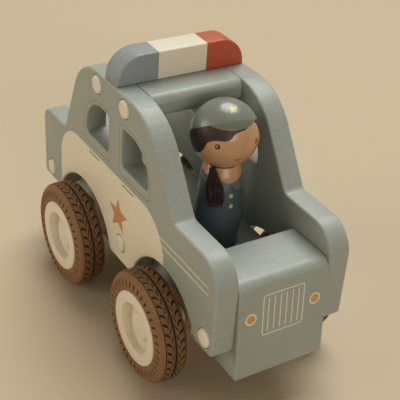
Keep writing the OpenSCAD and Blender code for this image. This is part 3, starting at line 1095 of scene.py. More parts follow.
@dataclass
class SidePanels:
    """The two side panels, with windows, wheel arches, peg holes and prints."""

    palette: Palette
    front_y: float = -91.5
    rear_y: float = 91.5
    inner_x: float = 24.5
    outer_x: float = 36.0
    edge_r: float = 1.1
    roof_z: float = 128.7
    wing_z: float = 88.4
    boot_z: float = 80.4
    foot_z: float = 39.0
    sill_z: float = 35.0
    axle_z: float = 28.25
    front_axle_y: float = -45.5
    rear_axle_y: float = 41.0
    arch_r: float = 31.45
    foot_r: float = 3.0
    tail_r: float = 7.0
    rear_base_r: float = 6.0
    rear_top_r: float = 26.0
    screen_top_r: float = 33.0
    screen_base_r: float = 4.0
    nose_r: float = 15.0
    screen_base_y: float = -52.9
    screen_slope: float = 56.0
    rear_base_y: float = 63.9
    rear_slope: float = 68.0
    windows: tuple[Span, ...] = ((-28.0, -1.4), (37.5, 12.6))
    window_low: float = 90.9
    window_high: float = 111.5
    window_radii: Radii = (17.0, 2.5)
    window_edge: float = 0.8
    outlines: tuple[Span, ...] = ((-30.5, 1.0), (39.9, 10.2))
    outline_low: float = 86.0
    outline_high: float = 114.0
    outline_radii: Radii = (19.0, 3.5)
    outline_w: float = 0.6
    handles: tuple[Span, ...] = ((-14.7, -2.8), (22.2, 33.8))
    handle_low: float = 80.7
    handle_high: float = 81.7
    handle_r: float = 0.45
    stripes: tuple[float, ...] = (74.4, 70.7)
    stripe_ends: Span = (-84.4, -35.0)
    stripe_half: float = 0.35
    field_front: float = -45.3
    field_rear: float = 69.0
    field_low: float = 20.0
    field_top: float = 83.0
    field_front_r: float = 22.3
    field_rear_r: float = 21.0
    star_at: Point = (0.9, 61.2)
    star_radii: Radii = (10.0, 4.4)
    peg_places: tuple[Point, ...] = ((-3.4, 122.3), (25.1, 122.3), (-83.9, 46.0), (-2.25, 46.0), (81.5, 46.0))
    peg_hole_r: float = 5.0
    peg_hole_edge: float = 0.35

    def arch(self, axle_y: float, low_front: float, low_rear: float) -> Loop:
        """Draws one wheel arch with its rounded lips, from the front lip over the top to the rear one.

        Args:
            axle_y: Place of the axle.
            low_front: Height of the panel's lower edge in front of the arch.
            low_rear: Height of that edge behind the arch.

        Returns:
            The arch's points, without its straight neighbours.
        """
        reach = self.arch_r + self.foot_r
        lips = []
        for side, low in ((-1, low_front), (1, low_rear)):
            lift = low + self.foot_r - self.axle_z
            lips.append((axle_y + side * math.sqrt(reach**2 - lift**2), low + self.foot_r, lift))
        first = math.degrees(math.asin(lips[0][2] / reach))
        last = math.degrees(math.asin(lips[1][2] / reach))
        points = arc(lips[0][:2], self.foot_r, -90.0, -first)
        points += arc((axle_y, self.axle_z), self.arch_r, 180.0 - first, last)[1:-1]
        return points + arc(lips[1][:2], self.foot_r, 180.0 + last, 270.0)

    def outline(self) -> Loop:
        """Draws the side view of a panel.

        Returns:
            The outline, anticlockwise.
        """
        low = self.arch(self.front_axle_y, self.foot_z, self.sill_z)
        low += self.arch(self.rear_axle_y, self.sill_z, self.foot_z)
        screen_run = (self.roof_z - self.wing_z) / math.tan(math.radians(self.screen_slope))
        rear_run = (self.roof_z - self.boot_z) / math.tan(math.radians(self.rear_slope))
        return rounded(
            [
                *low,
                (self.rear_y, self.foot_z, self.foot_r),
                (self.rear_y, self.boot_z, self.tail_r),
                (self.rear_base_y, self.boot_z, self.rear_base_r),
                (self.rear_base_y - rear_run, self.roof_z, self.rear_top_r),
                (self.screen_base_y + screen_run, self.roof_z, self.screen_top_r),
                (self.screen_base_y, self.wing_z, self.screen_base_r),
                (self.front_y, self.wing_z, self.nose_r),
                (self.front_y, self.foot_z, self.foot_r),
            ]
        )

    def window(self, ends: Span, low: float, high: float, radii: Radii) -> Loop:
        """Draws a window with one large upper corner.

        Args:
            ends: Place along the car of the end with the large corner, and of the end at the post.
            low: Height of its sill.
            high: Height of its top.
            radii: Radius of the large corner, and of the other three.

        Returns:
            The window's outline.
        """
        (start, end), (arc_r, small_r) = ends, radii
        sill = [(start, low, small_r), (end, low, small_r)]
        return rounded([*sill, (end, high, small_r), (start, high, arc_r)])

    def door_field(self) -> Loop:
        """Draws the cream field of the doors, with a rounded corner at both upper ends.

        Returns:
            The field's outline.
        """
        return rounded(
            [
                (self.field_front, self.field_low),
                (self.field_rear, self.field_low),
                (self.field_rear, self.field_top, self.field_rear_r),
                (self.field_front, self.field_top, self.field_front_r),
            ]
        )

    def prints(self) -> list[Print]:
        """Lists the paint on a panel's outer face.

        Returns:
            The prints, from the lowest coat up.
        """
        found = []
        for height in self.stripes:
            bar = upright(*self.stripe_ends, height - self.stripe_half, height + self.stripe_half)
            found.append(Print([bar], PanelPaint.STRIPE))
        found.append(Print([self.door_field()], PanelPaint.CREAM, wraps=True))
        for ends in self.outlines:
            outside = self.window(ends, self.outline_low, self.outline_high, self.outline_radii)
            depth = self.outline_w if winding(outside) > 0 else -self.outline_w
            found.append(Print([outside, inset(outside, depth)], PanelPaint.LINE))
        for start, end in self.handles:
            bar = upright(start, end, self.handle_low, self.handle_high, self.handle_r)
            found.append(Print([bar], PanelPaint.LINE))
        star = [(self.star_at[0] + x, self.star_at[1] + y) for x, y in star_points(*self.star_radii)]
        found.append(Print([star], PanelPaint.STAR))
        return found

    def panel(self, side: Side) -> Piece:
        """Builds one panel.

        Args:
            side: The side of the car that it stands on.

        Returns:
            The panel.
        """
        holes = [
            (self.window(ends, self.window_low, self.window_high, self.window_radii), self.window_edge)
            for ends in self.windows
        ]
        holes += [(circle(place, self.peg_hole_r), self.peg_hole_edge) for place in self.peg_places]
        slab = Slab(self.outline(), self.inner_x, self.outer_x, self.edge_r, holes, self.prints())
        draft = slab.draw(lambda u, v, w: (side.value * w, u, v))
        finishes = self.palette
        paints = [finishes.blue, finishes.cream, finishes.star, finishes.line, finishes.stripe]
        return own(draft.piece(f"{side.word}_panel", paints), "car", "blue_paint", f"{side.word}_side_panel")

    def build(self) -> None:
        """Builds both panels."""
        for side in Side:
            self.panel(side)


@dataclass
class RoofBoard:
    """The roof board between the panels, with bullnosed front and rear edges."""

    palette: Palette
    half_w: float = SidePanels.inner_x
    front_y: float = -10.2
    rear_y: float = 33.8
    low: float = 117.2
    high: float = SidePanels.roof_z
    nose_r: float = 4.5
    edge_r: float = 0.25

    def build(self) -> Piece:
        """Builds the board.

        Returns:
            The board.
        """
        loop = upright(self.front_y, self.rear_y, self.low, self.high, self.nose_r)
        draft = Slab(loop, -self.half_w, self.half_w, self.edge_r, steps=2).draw(lambda u, v, w: (w, u, v))
        return own(draft.piece("roof", [self.palette.blue_block]), "car", "blue_paint", "roof_board")


class EndPaint(IntEnum):
    """Finishes of an end block, in the order of its materials."""

    BLUE = 0
    LINE = 1
    LAMP = 2


@dataclass
class EndBlocks:
    """The blocks between the panels at both ends of the car. The front one carries a grille and two lamps."""

    palette: Palette
    half_w: float = SidePanels.inner_x
    face_y: float = SidePanels.rear_y
    rake: float = 4.0
    low: float = 23.7
    front_top: float = 75.5
    rear_top: float = 72.4
    front_back_y: float = -62.8
    rear_back_y: float = 63.5
    edge_r: float = 0.9
    lip_r: float = 1.4
    heel_r: float = 0.6
    brow_r: float = 5.5
    grille_half_w: float = 11.4
    grille_low: float = 45.2
    grille_high: float = 67.2
    grille_r: float = 1.7
    grille_line: float = 0.6
    bars: int = 6
    bar_pitch: float = 3.3
    bar_half: float = 0.28
    bar_gap: float = 1.9
    bar_r: float = 0.3
    lamp_at: Point = (17.6, 56.4)
    lamp_ring_r: float = 3.1
    lamp_r: float = 2.25
    tall_face: float = 20.0

    def face_prints(self) -> list[Print]:
        """Lists the paint on the front block's face: a grille of upright bars between two round lamps.

        Returns:
            The prints, from the lowest coat up.
        """
        low, high = self.grille_low, self.grille_high
        grille = upright(-self.grille_half_w, self.grille_half_w, low, high, self.grille_r)
        found = [Print([grille, inset(grille, self.grille_line)], EndPaint.LINE)]
        for k in range(self.bars):
            x = (k - (self.bars - 1) / 2) * self.bar_pitch
            near, far = x - self.bar_half, x + self.bar_half
            bar = upright(near, far, low + self.bar_gap, high - self.bar_gap, self.bar_r)
            found.append(Print([bar], EndPaint.LINE))
        for side in Side:
            centre = (side.value * self.lamp_at[0], self.lamp_at[1])
            found.append(Print([circle(centre, self.lamp_ring_r)], EndPaint.LINE))
            found.append(Print([circle(centre, self.lamp_r)], EndPaint.LAMP))
        return found

    def face_at(self, z: float) -> float:
        """Place along the car of the front block's raked face at a height."""
        return -self.face_y - self.rake * (self.front_top - z) / (self.front_top - self.low)

    def paint_face(self, draft: Draft) -> None:
        """Cuts the grille and lamps into the front block's large flat face.

        Args:
            draft: The front block's mesh.
        """
        for number, corners in enumerate(draft.faces):
            spots = [draft.points[c] for c in corners]
            flat = all(abs(s[1] - self.face_at(s[2])) < NEAR for s in spots)
            tall = max(s[2] for s in spots) - min(s[2] for s in spots)
            if flat and tall > self.tall_face and len(corners) == 4:
                break
        del draft.faces[number], draft.finish[number], draft.smooth[number]
        patch = cut_patch([[(s[0], s[2]) for s in spots]], self.face_prints())
        numbers = [draft.point((x, self.face_at(z), z)) for x, z in patch.points]
        for one, finish in zip(patch.triangles, patch.finish):
            draft.face([numbers[c] for c in one], finish, smooth=False)

    def block(self, end: End) -> Piece:
        """Builds the block at one end of the car.

        Args:
            end: The end that it closes.

        Returns:
            The block.
        """
        face_y, foot_y = end.value * self.face_y, end.value * (self.face_y + self.rake)
        back_y, top = self.rear_back_y, self.rear_top
        if end is End.FRONT:
            back_y, top = self.front_back_y, self.front_top
        loop = rounded(
            [
                (foot_y, self.low, self.lip_r),
                (back_y, self.low, self.heel_r),
                (back_y, top, self.lip_r),
                (face_y, top, self.brow_r),
            ]
        )
        draft = Slab(loop, -self.half_w, self.half_w, self.edge_r).draw(lambda u, v, w: (w, u, v))
        if end is End.FRONT:
            self.paint_face(draft)
        paints = [self.palette.blue_block, self.palette.stripe, self.palette.amber]
        made = draft.piece(f"{end.word}_end", paints, weld=SEAM)
        return own(made, "car", "blue_paint", f"{end.word}_block")

    def build(self) -> None:
        """Builds both blocks."""
        for end in End:
            self.block(end)


@dataclass
class Underside:
    """The boards that keep their CAD solids: the floor board and the axle blocks under it."""

    palette: Palette

    def build(self) -> None:
        """Gives the boards their finishes."""
        dress("floor_board", self.palette.blue)
        for end in End:
            dress(f"{end.word}_axle_block", self.palette.maple_block)


class BarPaint(IntEnum):
    """Finishes of the light bar, in the order of its materials."""

    CREAM = 0
    BLUE = 1
    RED = 2


@dataclass
class LightBar:
    """The light bar across the roof: one block painted blue, cream and red."""

    palette: Palette
    half_l: float = 34.7
    low: float = SidePanels.roof_z
    high: float = 143.1
    front: float = 6.0
    back: float = 19.3
    end_r: float = 13.4
    split: float = 13.2
    edge_r: float = 0.9
    beyond: float = 5.0

    def build(self) -> Piece:
        """Builds the bar with its three colours meeting in sharp lines.

        Returns:
            The bar.
        """
        loop = rounded(
            [
                (-self.half_l, self.low),
                (-self.split, self.low),
                (self.split, self.low),
                (self.half_l, self.low),
                (self.half_l, self.high, self.end_r),
                (self.split, self.high),
                (-self.split, self.high),
                (-self.half_l, self.high, self.end_r),
            ]
        )
        prints = []
        for side, finish in ((Side.RIGHT, BarPaint.BLUE), (Side.LEFT, BarPaint.RED)):
            near, far = side.value * self.split, side.value * (self.half_l + self.beyond)
            coat = upright(near, far, self.low - self.beyond, self.high + self.beyond)
            prints.append(Print([coat], finish, wraps=True))
        slab = Slab(loop, self.front, self.back, self.edge_r, prints=prints, both_faces=True)
        draft = slab.draw(lambda u, v, w: (u, w, v))
        paints = [self.palette.cream_turned, self.palette.bar_blue, self.palette.bar_red]
        return own(draft.piece("roof_light_bar", paints), "car", "cream_paint", "light_bar")


@dataclass
class Pegs:
    """The turned pegs that hold the panels, with domed heads that stand a little proud."""

    palette: Palette
    panel_x: float = SidePanels.outer_x
    head_r: float = 4.7
    shank_r: float = 3.0
    head_in: float = 31.5
    tip: float = 12.5
    proud: float = 1.2
    segments: int = 48

    def peg(self, side: Side, place: Point) -> Draft:
        """Draws one peg at a place on a panel.

        Args:
            side: The side of the car that it is driven in from.
            place: Its place along and up the panel.

        Returns:
            The peg's mesh.
        """
        face = self.panel_x + self.proud
        profile = [
            (0.0, self.tip),
            (self.shank_r, self.tip),
            (self.shank_r, self.head_in),
            (self.head_r, self.head_in),
            (self.head_r, self.panel_x - 0.4),
            (self.head_r - 0.12, self.panel_x),
            (self.head_r - 0.5, face - 0.62),
            (self.head_r - 1.2, face - 0.3),
            (self.head_r - 2.4, face - 0.08),
            (0.0, face),
        ]
        return turned(profile, lambda x, y, h: (side.value * h, place[0] + x, place[1] + y), self.segments)

    def build(self) -> None:
        """Builds the pegs of both sides: the two roof pegs as one piece, and the others one by one."""
        roof, rest = SidePanels.peg_places[:2], SidePanels.peg_places[2:]
        paints = [self.palette.cream_turned]
        for side in Side:
            pair = Draft()
            for place in roof:
                pair.join(self.peg(side, place))
            made = pair.piece(f"{side.word}_roof_peg_heads", paints)
            own(made, "car", "cream_paint", f"{side.word}_roof_pegs")
            for word, place in zip(("front", "sill", "rear"), rest):
                made = self.peg(side, place).piece(f"{side.word}_{word}_peg_head", paints)
                own(made, "car", "cream_paint", f"{side.word}_{word}_peg")


@dataclass(frozen=True)
class Station:
    """One line round a tyre, in millimetres, with the depth shares of the long and the short slots there."""

    radius: float
    out: float
    slide: float = 0.0
    long: float = 0.0
    short: float = 0.0


@dataclass
class WheelPair:
    """One axle with its two rubber-tyred wheels."""

    palette: Palette
    end: End
    axle_y: float
    axle_z: float = SidePanels.axle_z
    middle: float = 43.1
    bead_r: float = 17.4
    bead_out: float = 6.3
    wall_out: float = 7.2
    flange_seat_r: float = 19.12
    wall_r: float = 25.0
    tread_r: float = SidePanels.axle_z
    shoulder: float = 5.09
    shoulder_half: float = 0.15
    centre_half: float = 0.6
    pitches: int = 38
    slot_depth: float = 1.3
    notch_depth: float = 0.6
    # Painted shade: how far the tread, the shoulder and centre grooves and the slots are darkened
    tread_shade: float = 0.25
    shoulder_shade: float = 0.75
    centre_shade: float = 0.85
    slot_shade: float = 0.9
    bore_r: float = 2.55
    boss_r: float = 5.0
    boss_in: float = 25.0
    rim_r: float = 17.3
    rim_in: float = 35.9
    flange_r: float = 19.0
    flange_in: float = 49.4
    hub_face: float = 50.9
    dish_r: float = 12.9
    dish_floor_r: float = 12.4
    dish_floor: float = 45.9
    cap_h: float = 2.4
    hub_segments: int = 112

    def stations(self) -> list[Station]:
        """Lists the tyre's cross-section from its outer bead over the tread to its inner bead.

        Returns:
            The lines round the tyre. Out is the distance from the middle of the tread, and slide is how far
            the tread's pattern has moved along the tyre.
        """
        wall = [
            Station(self.flange_seat_r, self.wall_out),
            Station(20.2, 7.36),
            Station(21.3, 7.46),
            Station(21.55, 7.48, 0.05, long=1.0),
            Station(24.6, 7.36, 0.55, long=1.0),
            Station(24.85, 7.33, 0.6),
            Station(25.3, 7.24, 0.6),
            Station(26.1, 6.96, 0.5),
            Station(26.75, 6.52, 0.4),
            Station(27.3, 6.02, 0.3),
            Station(27.66, 5.54, 0.2),
            Station(27.72, 5.34, 0.1),
            Station(27.1, 5.2),
            Station(27.1, 4.98),
            Station(27.9, 4.84),
        ]
        tread = [
            Station(28.05, 4.72),
            Station(28.09, 4.6, 0.0, long=1.0),
            Station(28.16, 4.1, 0.15, long=1.0),
            Station(28.2, 3.6, 0.4, long=1.0),
            Station(28.23, 3.1, 0.8, long=1.0),
            Station(28.24, 2.7, 1.3, long=1.0),
            Station(self.tread_r, 2.4, 1.95, long=1.0),
            Station(self.tread_r, 2.28, 2.2),
            Station(self.tread_r, 2.1, 2.25),
            Station(self.tread_r, 1.98, 2.0, short=1.0),
            Station(self.tread_r, 1.5, 0.7, short=1.0),
            Station(self.tread_r, 1.12, -0.35, short=1.0),
            Station(self.tread_r, 0.95, -0.6),
            Station(28.22, 0.66, -0.6),
            Station(27.1, 0.46, -0.6, long=0.5, short=0.5),
        ]
        outer = wall + tread
        inner = [replace(one, out=-one.out) for one in reversed(outer)]
        seat = [Station(self.bead_r, -self.wall_out), Station(self.bead_r, self.bead_out)]
        return outer + inner + seat + [Station(self.flange_seat_r, self.bead_out)]

    def ring(self, draft: Draft, side: Side, at: Station) -> list[int]:
        """Adds the points of one line round a tyre.

        Args:
            draft: The tyre's mesh.
            side: The side of the car that the tyre is on.
            at: The line.

        Returns:
            The points' numbers.
        """
        shares = (-0.15, -0.1, 0.1, 0.15, 0.35, 0.4, 0.6, 0.65)
        cuts = (0.0, at.long, at.long, 0.0, 0.0, at.short, at.short, 0.0)
        on_wall = at.radius < self.wall_r
        on_shoulder = abs(abs(at.out) - self.shoulder) < self.shoulder_half
        on_centre = abs(at.out) < self.centre_half
        # Painted shade across the tread and deeper in the shoulder and centre grooves
        tone = self.tread_shade if abs(at.out) < self.shoulder else 0.0
        if on_shoulder or on_centre:
            tone = self.shoulder_shade if on_shoulder else self.centre_shade
        pitch = 2 * math.pi / self.pitches
        numbers = []
        for k in range(self.pitches):
            for share, cut in zip(shares, cuts):
                turn = (k + share) * pitch + at.slide / self.tread_r
                r, out = at.radius, at.out
                if on_wall:
                    out -= math.copysign(cut * self.notch_depth, out)
                elif not (on_shoulder or on_centre):
                    r -= cut * self.slot_depth
                y, z = self.axle_y + r * math.cos(turn), self.axle_z + r * math.sin(turn)
                # Painted shade in the slots, or the line's own painted shade where that is darker
                wear_and_light = max(self.slot_shade * cut, tone)
                numbers.append(draft.point((side.value * (self.middle + out), y, z), wear_and_light))
        return numbers

    def tyre(self, side: Side) -> Draft:
        """Draws a tyre with grooves, hooked slots across its tread and notches in its walls.

        Args:
            side: The side of the car that it is on.

        Returns:
            The tyre's mesh.
        """
        draft = Draft()
        rings = [self.ring(draft, side, at) for at in self.stations()]
        for i in range(len(rings)):
            draft.band(rings[i], rings[(i + 1) % len(rings)])
        return draft

    def hub(self, side: Side) -> Draft:
        """Draws a hub: a turned rim with a flat ring round a dished face, and a boss behind it.

        Args:
            side: The side of the car that it is on.

        Returns:
            The hub's mesh.
        """
        profile = rounded(
            [
                (self.bore_r, self.boss_in),
                (self.boss_r, self.boss_in, 0.4),
                (self.boss_r, self.rim_in, 1.0),
                (self.rim_r, self.rim_in),
                (self.rim_r, self.flange_in),
                (self.flange_r, self.flange_in, 0.3),
                (self.flange_r, self.hub_face, 0.7),
                (self.dish_r, self.hub_face, 0.9),
                (self.dish_floor_r, self.dish_floor, 1.2),
                (self.bore_r, self.dish_floor),
            ]
        )
        return turned(profile, self.outward(side), self.hub_segments)

    def cap(self, side: Side) -> Draft:
        """Draws the low domed cap in the middle of a hub.

        Args:
            side: The side of the car that it is on.

        Returns:
            The cap's mesh.
        """
        top = self.dish_floor + self.cap_h
        profile = [
            (0.0, self.dish_floor),
            (7.3, self.dish_floor),
            (7.3, top - 0.9),
            (7.12, top - 0.45),
            (6.6, top - 0.18),
            (5.4, top - 0.08),
            (3.0, top - 0.02),
            (0.0, top),
        ]
        return turned(profile, self.outward(side))

    def outward(self, side: Side) -> Place:
        """Gives the place function of a wheel, whose height runs outwards along the axle."""
        return lambda x, y, h: (side.value * h, self.axle_y + x, self.axle_z + y)

    def build(self) -> None:
        """Builds both wheels and dresses the axle."""
        body, cream = f"{self.end.word}_wheels", [self.palette.cream_turned]
        for side in Side:
            name = f"{self.end.word}_{side.word}"
            tyre = self.tyre(side).piece(f"{name}_rubber_tyre", [self.palette.rubber], crease=50.0)
            own(tyre, body, "tyre_rubber", f"{name}_tyre")
            own(self.hub(side).piece(f"{name}_wheel_hub", cream), body, "cream_paint", f"{name}_hub")
            own(self.cap(side).piece(f"{name}_wheel_cap", cream), body, "cream_paint", f"{name}_hub_cap")
        dress(f"{self.end.word}_axle", self.palette.steel)


class TorsoPaint(IntEnum):
    """Finishes of the doll's body, in the order of its materials."""

    NAVY = 0
    SKIN = 1
    COLLAR = 2
    BUTTON = 3


class HeadPaint(IntEnum):
    """Finishes of the doll's head, in the order of its materials."""

    SKIN = 0
    HAIR = 1
    CAP = 2
    VISOR = 3
    BADGE = 4
    LIPS = 5
    EYE = 6


@dataclass
class Doll:
    """The turned driver doll with painted clothes and face, and a yarn ponytail."""

    palette: Palette
    foot: Spot = (3.0, -29.8, 53.0)
    yaw: float = -10.0
    head_r: float = 16.4
    head_z: float = 61.7
    sheet_share: float = 0.8
    neck_z: float = 47.0
    neck_r: float = 8.2
    shoulder: Corner = (9.9, 42.5, 4.0)
    belly: Corner = (12.3, 18.0, 25.0)
    base_r: float = 9.8
    base_edge: float = 0.6
    chest_r: float = 11.5
    face_turn: float = 2.0
    chest_turn: float = 6.0
    neck_top: float = 46.9
    neckline_low: float = 39.8
    neckline_rise: float = 3.4
    neckline_turn: float = 38.0
    button_heights: tuple[float, ...] = (33.0, 27.6)
    button_r: float = 1.1
    cap_tilt: float = 32.7
    cap_level: float = 0.228
    hair_under: float = 6.0
    badge_angle: float = 22.0
    badge_radii: Radii = (2.7, 1.25)
    eye_turns: tuple[float, ...] = (-36.0, 37.0)
    eye_angle: float = 86.5
    eye_r: float = 1.3
    glint_turn: float = -0.8
    glint_angle: float = 86.1
    glint_r: float = 0.5
    tail_turn: float = -48.0
    tail_top: Spot = (0.0, -10.7, 48.27)
    tail_lean: float = -14.0
    tail_sweep: float = -17.0
    tail_l: float = 17.0
    tail_half_w: float = 5.1
    tail_half_t: float = 2.0
    tail_start: float = 1.4
    tail_neck: float = 0.24
    tail_full: float = 0.72
    tail_close: float = 0.22
    strands: int = 72
    yarn_r: float = 0.43
    tie_r: float = 1.35
    tie_yarn_r: float = 0.42
    tie_turns: int = 3

    def stand(self, local: Matrix | None = None) -> Place:
        """Gives the place function of a piece on the doll.

        Args:
            local: The piece's own place in the doll's frame, or None for the doll's axis.

        Returns:
            A function from the piece's coordinates to the car's frame.
        """
        full = Matrix.Translation(self.foot) @ Matrix.Rotation(math.radians(self.yaw), 4, "Z")
        if local is not None:
            full = full @ local
        return lambda x, y, z: tuple(full @ Vector((x, y, z)))

    def body(self) -> Piece:
        """Builds the barrel-shaped body with its neckline, collar and buttons.

        Returns:
            The body.
        """
        neck = [(0.0, self.neck_z), (self.neck_r, self.neck_z)]
        line = rounded([*neck, self.shoulder, self.belly, (self.base_r, 0.0, self.base_edge), (0.0, 0.0)])
        skin = PaintedTurning(line, self.chest_r, [], columns=96, rows=40)
        depths, down = [-height for _, height in line], skin.lengths()

        def at(turn: float, height: float) -> Point:
            """Place on the unrolled skin of a turn in degrees and a height above the doll's foot."""
            return skin.unroll(turn + self.chest_turn, float(np.interp(-height, depths, down)))

        around = range(-186, 175, 10)
        rises = [(t, 1 - math.exp(-((t / self.neckline_turn) ** 2))) for t in reversed(around)]
        neck_low = [(t, self.neckline_low + self.neckline_rise * rise) for t, rise in rises]
        collar_low = [(174, 40.8), (120, 40.3), (80, 38.6), (48, 35.2), (24, 34.6), (8, 36.8), (0, 39.6)]
        collar_low += [(-8, 36.8), (-24, 34.6), (-48, 35.2), (-80, 38.6), (-120, 40.3), (-186, 40.8)]
        top = [at(t, self.neck_top) for t in around]
        skin.prints = [
            Print([top + [at(*spot) for spot in collar_low]], TorsoPaint.COLLAR),
            Print([top + [at(*spot) for spot in neck_low]], TorsoPaint.SKIN),
        ]
        for height in self.button_heights:
            skin.prints.append(Print([circle(at(1.0, height), self.button_r)], TorsoPaint.BUTTON))
        finishes = self.palette
        paints = [finishes.navy, finishes.skin, finishes.collar, finishes.gold]
        made = skin.draw(self.stand()).piece("doll_torso", paints, weld=SEAM, crease=30.0)
        return own(made, "doll", "navy_paint", "doll_body")

    @property
    def sheet_r(self) -> float:
        """Radius at which the head's skin is unrolled."""
        return self.head_r * self.sheet_share

    def on_head(self, turn: float, angle: float) -> Point:
        """Place on the head's flat skin of a turn from the face and an angle from the crown, in degrees."""
        return (math.radians(turn + self.face_turn) * self.sheet_r, math.radians(angle) * self.head_r)

    def cap_edge(self, turn: float) -> float:
        """Finds the edge of the cap, which is a tilted circle.

        Args:
            turn: Turn from the face, in degrees.

        Returns:
            Angle of the edge down from the crown, in degrees.
        """
        tilt = math.radians(self.cap_tilt)
        a, b = math.cos(tilt), -math.sin(tilt) * math.cos(math.radians(turn))
        return math.degrees(math.acos(self.cap_level / math.hypot(a, b)) + math.atan2(b, a))

    def spot(self, turn: float, angle: float, radius: float, count: int = 20) -> Loop:
        """Draws a round spot on the head.

        Args:
            turn: Turn of its middle from the face, in degrees.
            angle: Angle of its middle down from the crown, in degrees.
            radius: Its radius in millimetres.
            count: Points round it.

        Returns:
            Its outline on the unrolled skin.
        """
        wide = radius / math.sin(math.radians(angle)) / self.head_r
        tall = radius / self.head_r
        loop = []
        for t in (2 * math.pi * k / count for k in range(count)):
            across, down = math.degrees(wide * math.cos(t)), math.degrees(tall * math.sin(t))
            loop.append(self.on_head(turn + across, angle + down))
        return loop

    def badge(self) -> Loop:
        """Draws the star on the cap.

        Returns:
            Its outline on the unrolled skin.
        """
        loop = []
        for across, up in star_points(*self.badge_radii):
            angle = self.badge_angle - math.degrees(up / self.head_r)
            turn = math.degrees(across / self.head_r / math.sin(math.radians(angle)))
            loop.append(self.on_head(turn, angle))
        return loop

    def head_prints(self) -> list[Print]:
        """Lists the paint on the head: hair, cap, visor, badge, eyes and mouth.

        Returns:
            The prints, from the lowest coat up.
        """
        hair_low = [(-182, 128), (-140, 127), (-110, 124), (-92, 119), (-80, 114), (-70, 109), (-64, 103)]
        hair_low += [(-59, 96.5), (-56, 89), (-53.5, 84), (-50, 81), (-44, 78.4), (-38, 76.4), (-31, 76.4)]
        hair_low += [(-25, 76.4), (-18.5, 74.6), (-13.5, 71.2), (-9, 66), (-5, 63.6), (0, 62.2), (7, 61.2)]
        hair_low += [(14, 60.8), (20, 58.5), (30, 56.5), (44, 56), (49, 62), (49.5, 70), (53, 80), (60, 92)]
        hair_low += [(70, 106), (86, 117), (110, 124), (140, 127), (178, 128)]
        visor_low = [(-57, 56.2), (-48, 57), (-38, 57.9), (-28, 58.6), (-14, 59), (0, 59)]
        visor_low += [(14, 58.6), (28, 57.8), (38, 57), (48, 56.2), (57, 56.2)]
        mouth = [(-6.5, 110.4), (-3.0, 110.9), (0.5, 111.2), (4.0, 110.9), (7.5, 110.4)]
        mouth += [(4.6, 113.4), (0.5, 114.6), (-3.6, 113.4)]
        edge = [(t, self.cap_edge(t)) for t in range(178, -183, -4)]
        shapes = [
            ([(t, angle - self.hair_under) for t, angle in edge] + hair_low, HeadPaint.HAIR),
            ([(-182, 0.5), (178, 0.5)] + edge, HeadPaint.CAP),
            ([(t, self.cap_edge(t)) for t in range(57, -58, -6)] + visor_low, HeadPaint.VISOR),
        ]
        found = [Print([[self.on_head(*place) for place in shape]], finish) for shape, finish in shapes]
        found.append(Print([self.badge()], HeadPaint.BADGE))
        for turn in self.eye_turns:
            rim = self.spot(turn, self.eye_angle, self.eye_r)
            glint = self.spot(turn + self.glint_turn, self.glint_angle, self.glint_r)
            found.append(Print([rim, glint], HeadPaint.EYE))
        found.append(Print([[self.on_head(*place) for place in mouth]], HeadPaint.LIPS))
        return found

    def head(self) -> Piece:
        """Builds the ball head with its painted cap, hair and simple face.

        Returns:
            The head.
        """
        low = math.degrees(math.acos(-(self.head_z - self.neck_z) / self.head_r))
        angles = np.radians(np.linspace(0, low, 64))
        line = [(self.head_r * math.sin(a), self.head_z + self.head_r * math.cos(a)) for a in angles]
        line = [(max(0.0, r), z) for r, z in line] + [(0.0, self.neck_z)]
        ball = PaintedTurning(line, self.sheet_r, self.head_prints(), columns=144, rows=72)
        finishes = self.palette
        paints = [finishes.skin, finishes.hair, finishes.cap, finishes.visor, finishes.gold, finishes.lips]
        paints.append(finishes.eye)
        made = ball.draw(self.stand()).piece("doll_ball_head", paints, weld=SEAM, crease=60.0)
        return own(made, "doll", "skin_paint", "doll_head")

    def at_tail(self) -> Place:
        """Gives the place function of the ponytail, which hangs down from the tie.

        Returns:
            A function from the ponytail's coordinates to the car's frame.
        """
        local = Matrix.Rotation(math.radians(self.tail_turn), 4, "Z") @ Matrix.Translation(self.tail_top)
        local = local @ Matrix.Rotation(math.radians(self.tail_lean), 4, "X")
        return self.stand(local @ Matrix.Rotation(math.radians(self.tail_sweep), 4, "Y"))

    def strand(self, draft: Draft, place: Place, chance: random.Random) -> None:
        """Adds one wavy strand of the ponytail.

        Args:
            draft: The ponytail's mesh.
            place: The ponytail's place function.
            chance: Source of the strand's own place, length and wave.
        """
        sides, stops = 6, 16
        turn, out = chance.uniform(0, 2 * math.pi), math.sqrt(chance.random())
        length = self.tail_l + chance.uniform(-1.5, 0.9)
        wave, phase, twist = chance.uniform(0.1, 0.28), chance.uniform(0, 6.28), chance.uniform(-0.5, 0.5)
        rings = []
        for k in range(stops):
            share = k / (stops - 1)
            opened = math.sin(min(1.0, share / self.tail_full) * math.pi / 2) ** 1.2
            closed = max(0.0, share - self.tail_full) / (1 - self.tail_full)
            swell = self.tail_neck + (1 - self.tail_neck) * opened
            swell *= 1 - self.tail_close * closed
            angle = turn + twist * share
            x = self.tail_half_w * out * swell * math.cos(angle) + wave * math.sin(9 * share + phase)
            y = self.tail_half_t * out * swell * math.sin(angle) + wave * math.cos(7 * share + phase)
            z = -self.tail_start - length * share
            size = self.yarn_r * (1.0 if share < 0.97 else 0.55)
            ways = [2 * math.pi * s / sides + 2.4 * share for s in range(sides)]
            spots = [(x + size * math.cos(a), y + size * math.sin(a), z) for a in ways]
            rings.append([draft.point(place(*spot)) for spot in spots])
        draft.tube(rings)

    def ponytail(self) -> Piece:
        """Builds the yarn ponytail from separate strands that hang from the tie.

        Returns:
            The ponytail.
        """
        draft, place, chance = Draft(), self.at_tail(), random.Random(7)
        for _ in range(self.strands):
            self.strand(draft, place, chance)
        made = draft.piece("doll_yarn_strands", [self.palette.yarn], crease=80.0)
        return own(made, "doll", "yarn", "doll_ponytail")

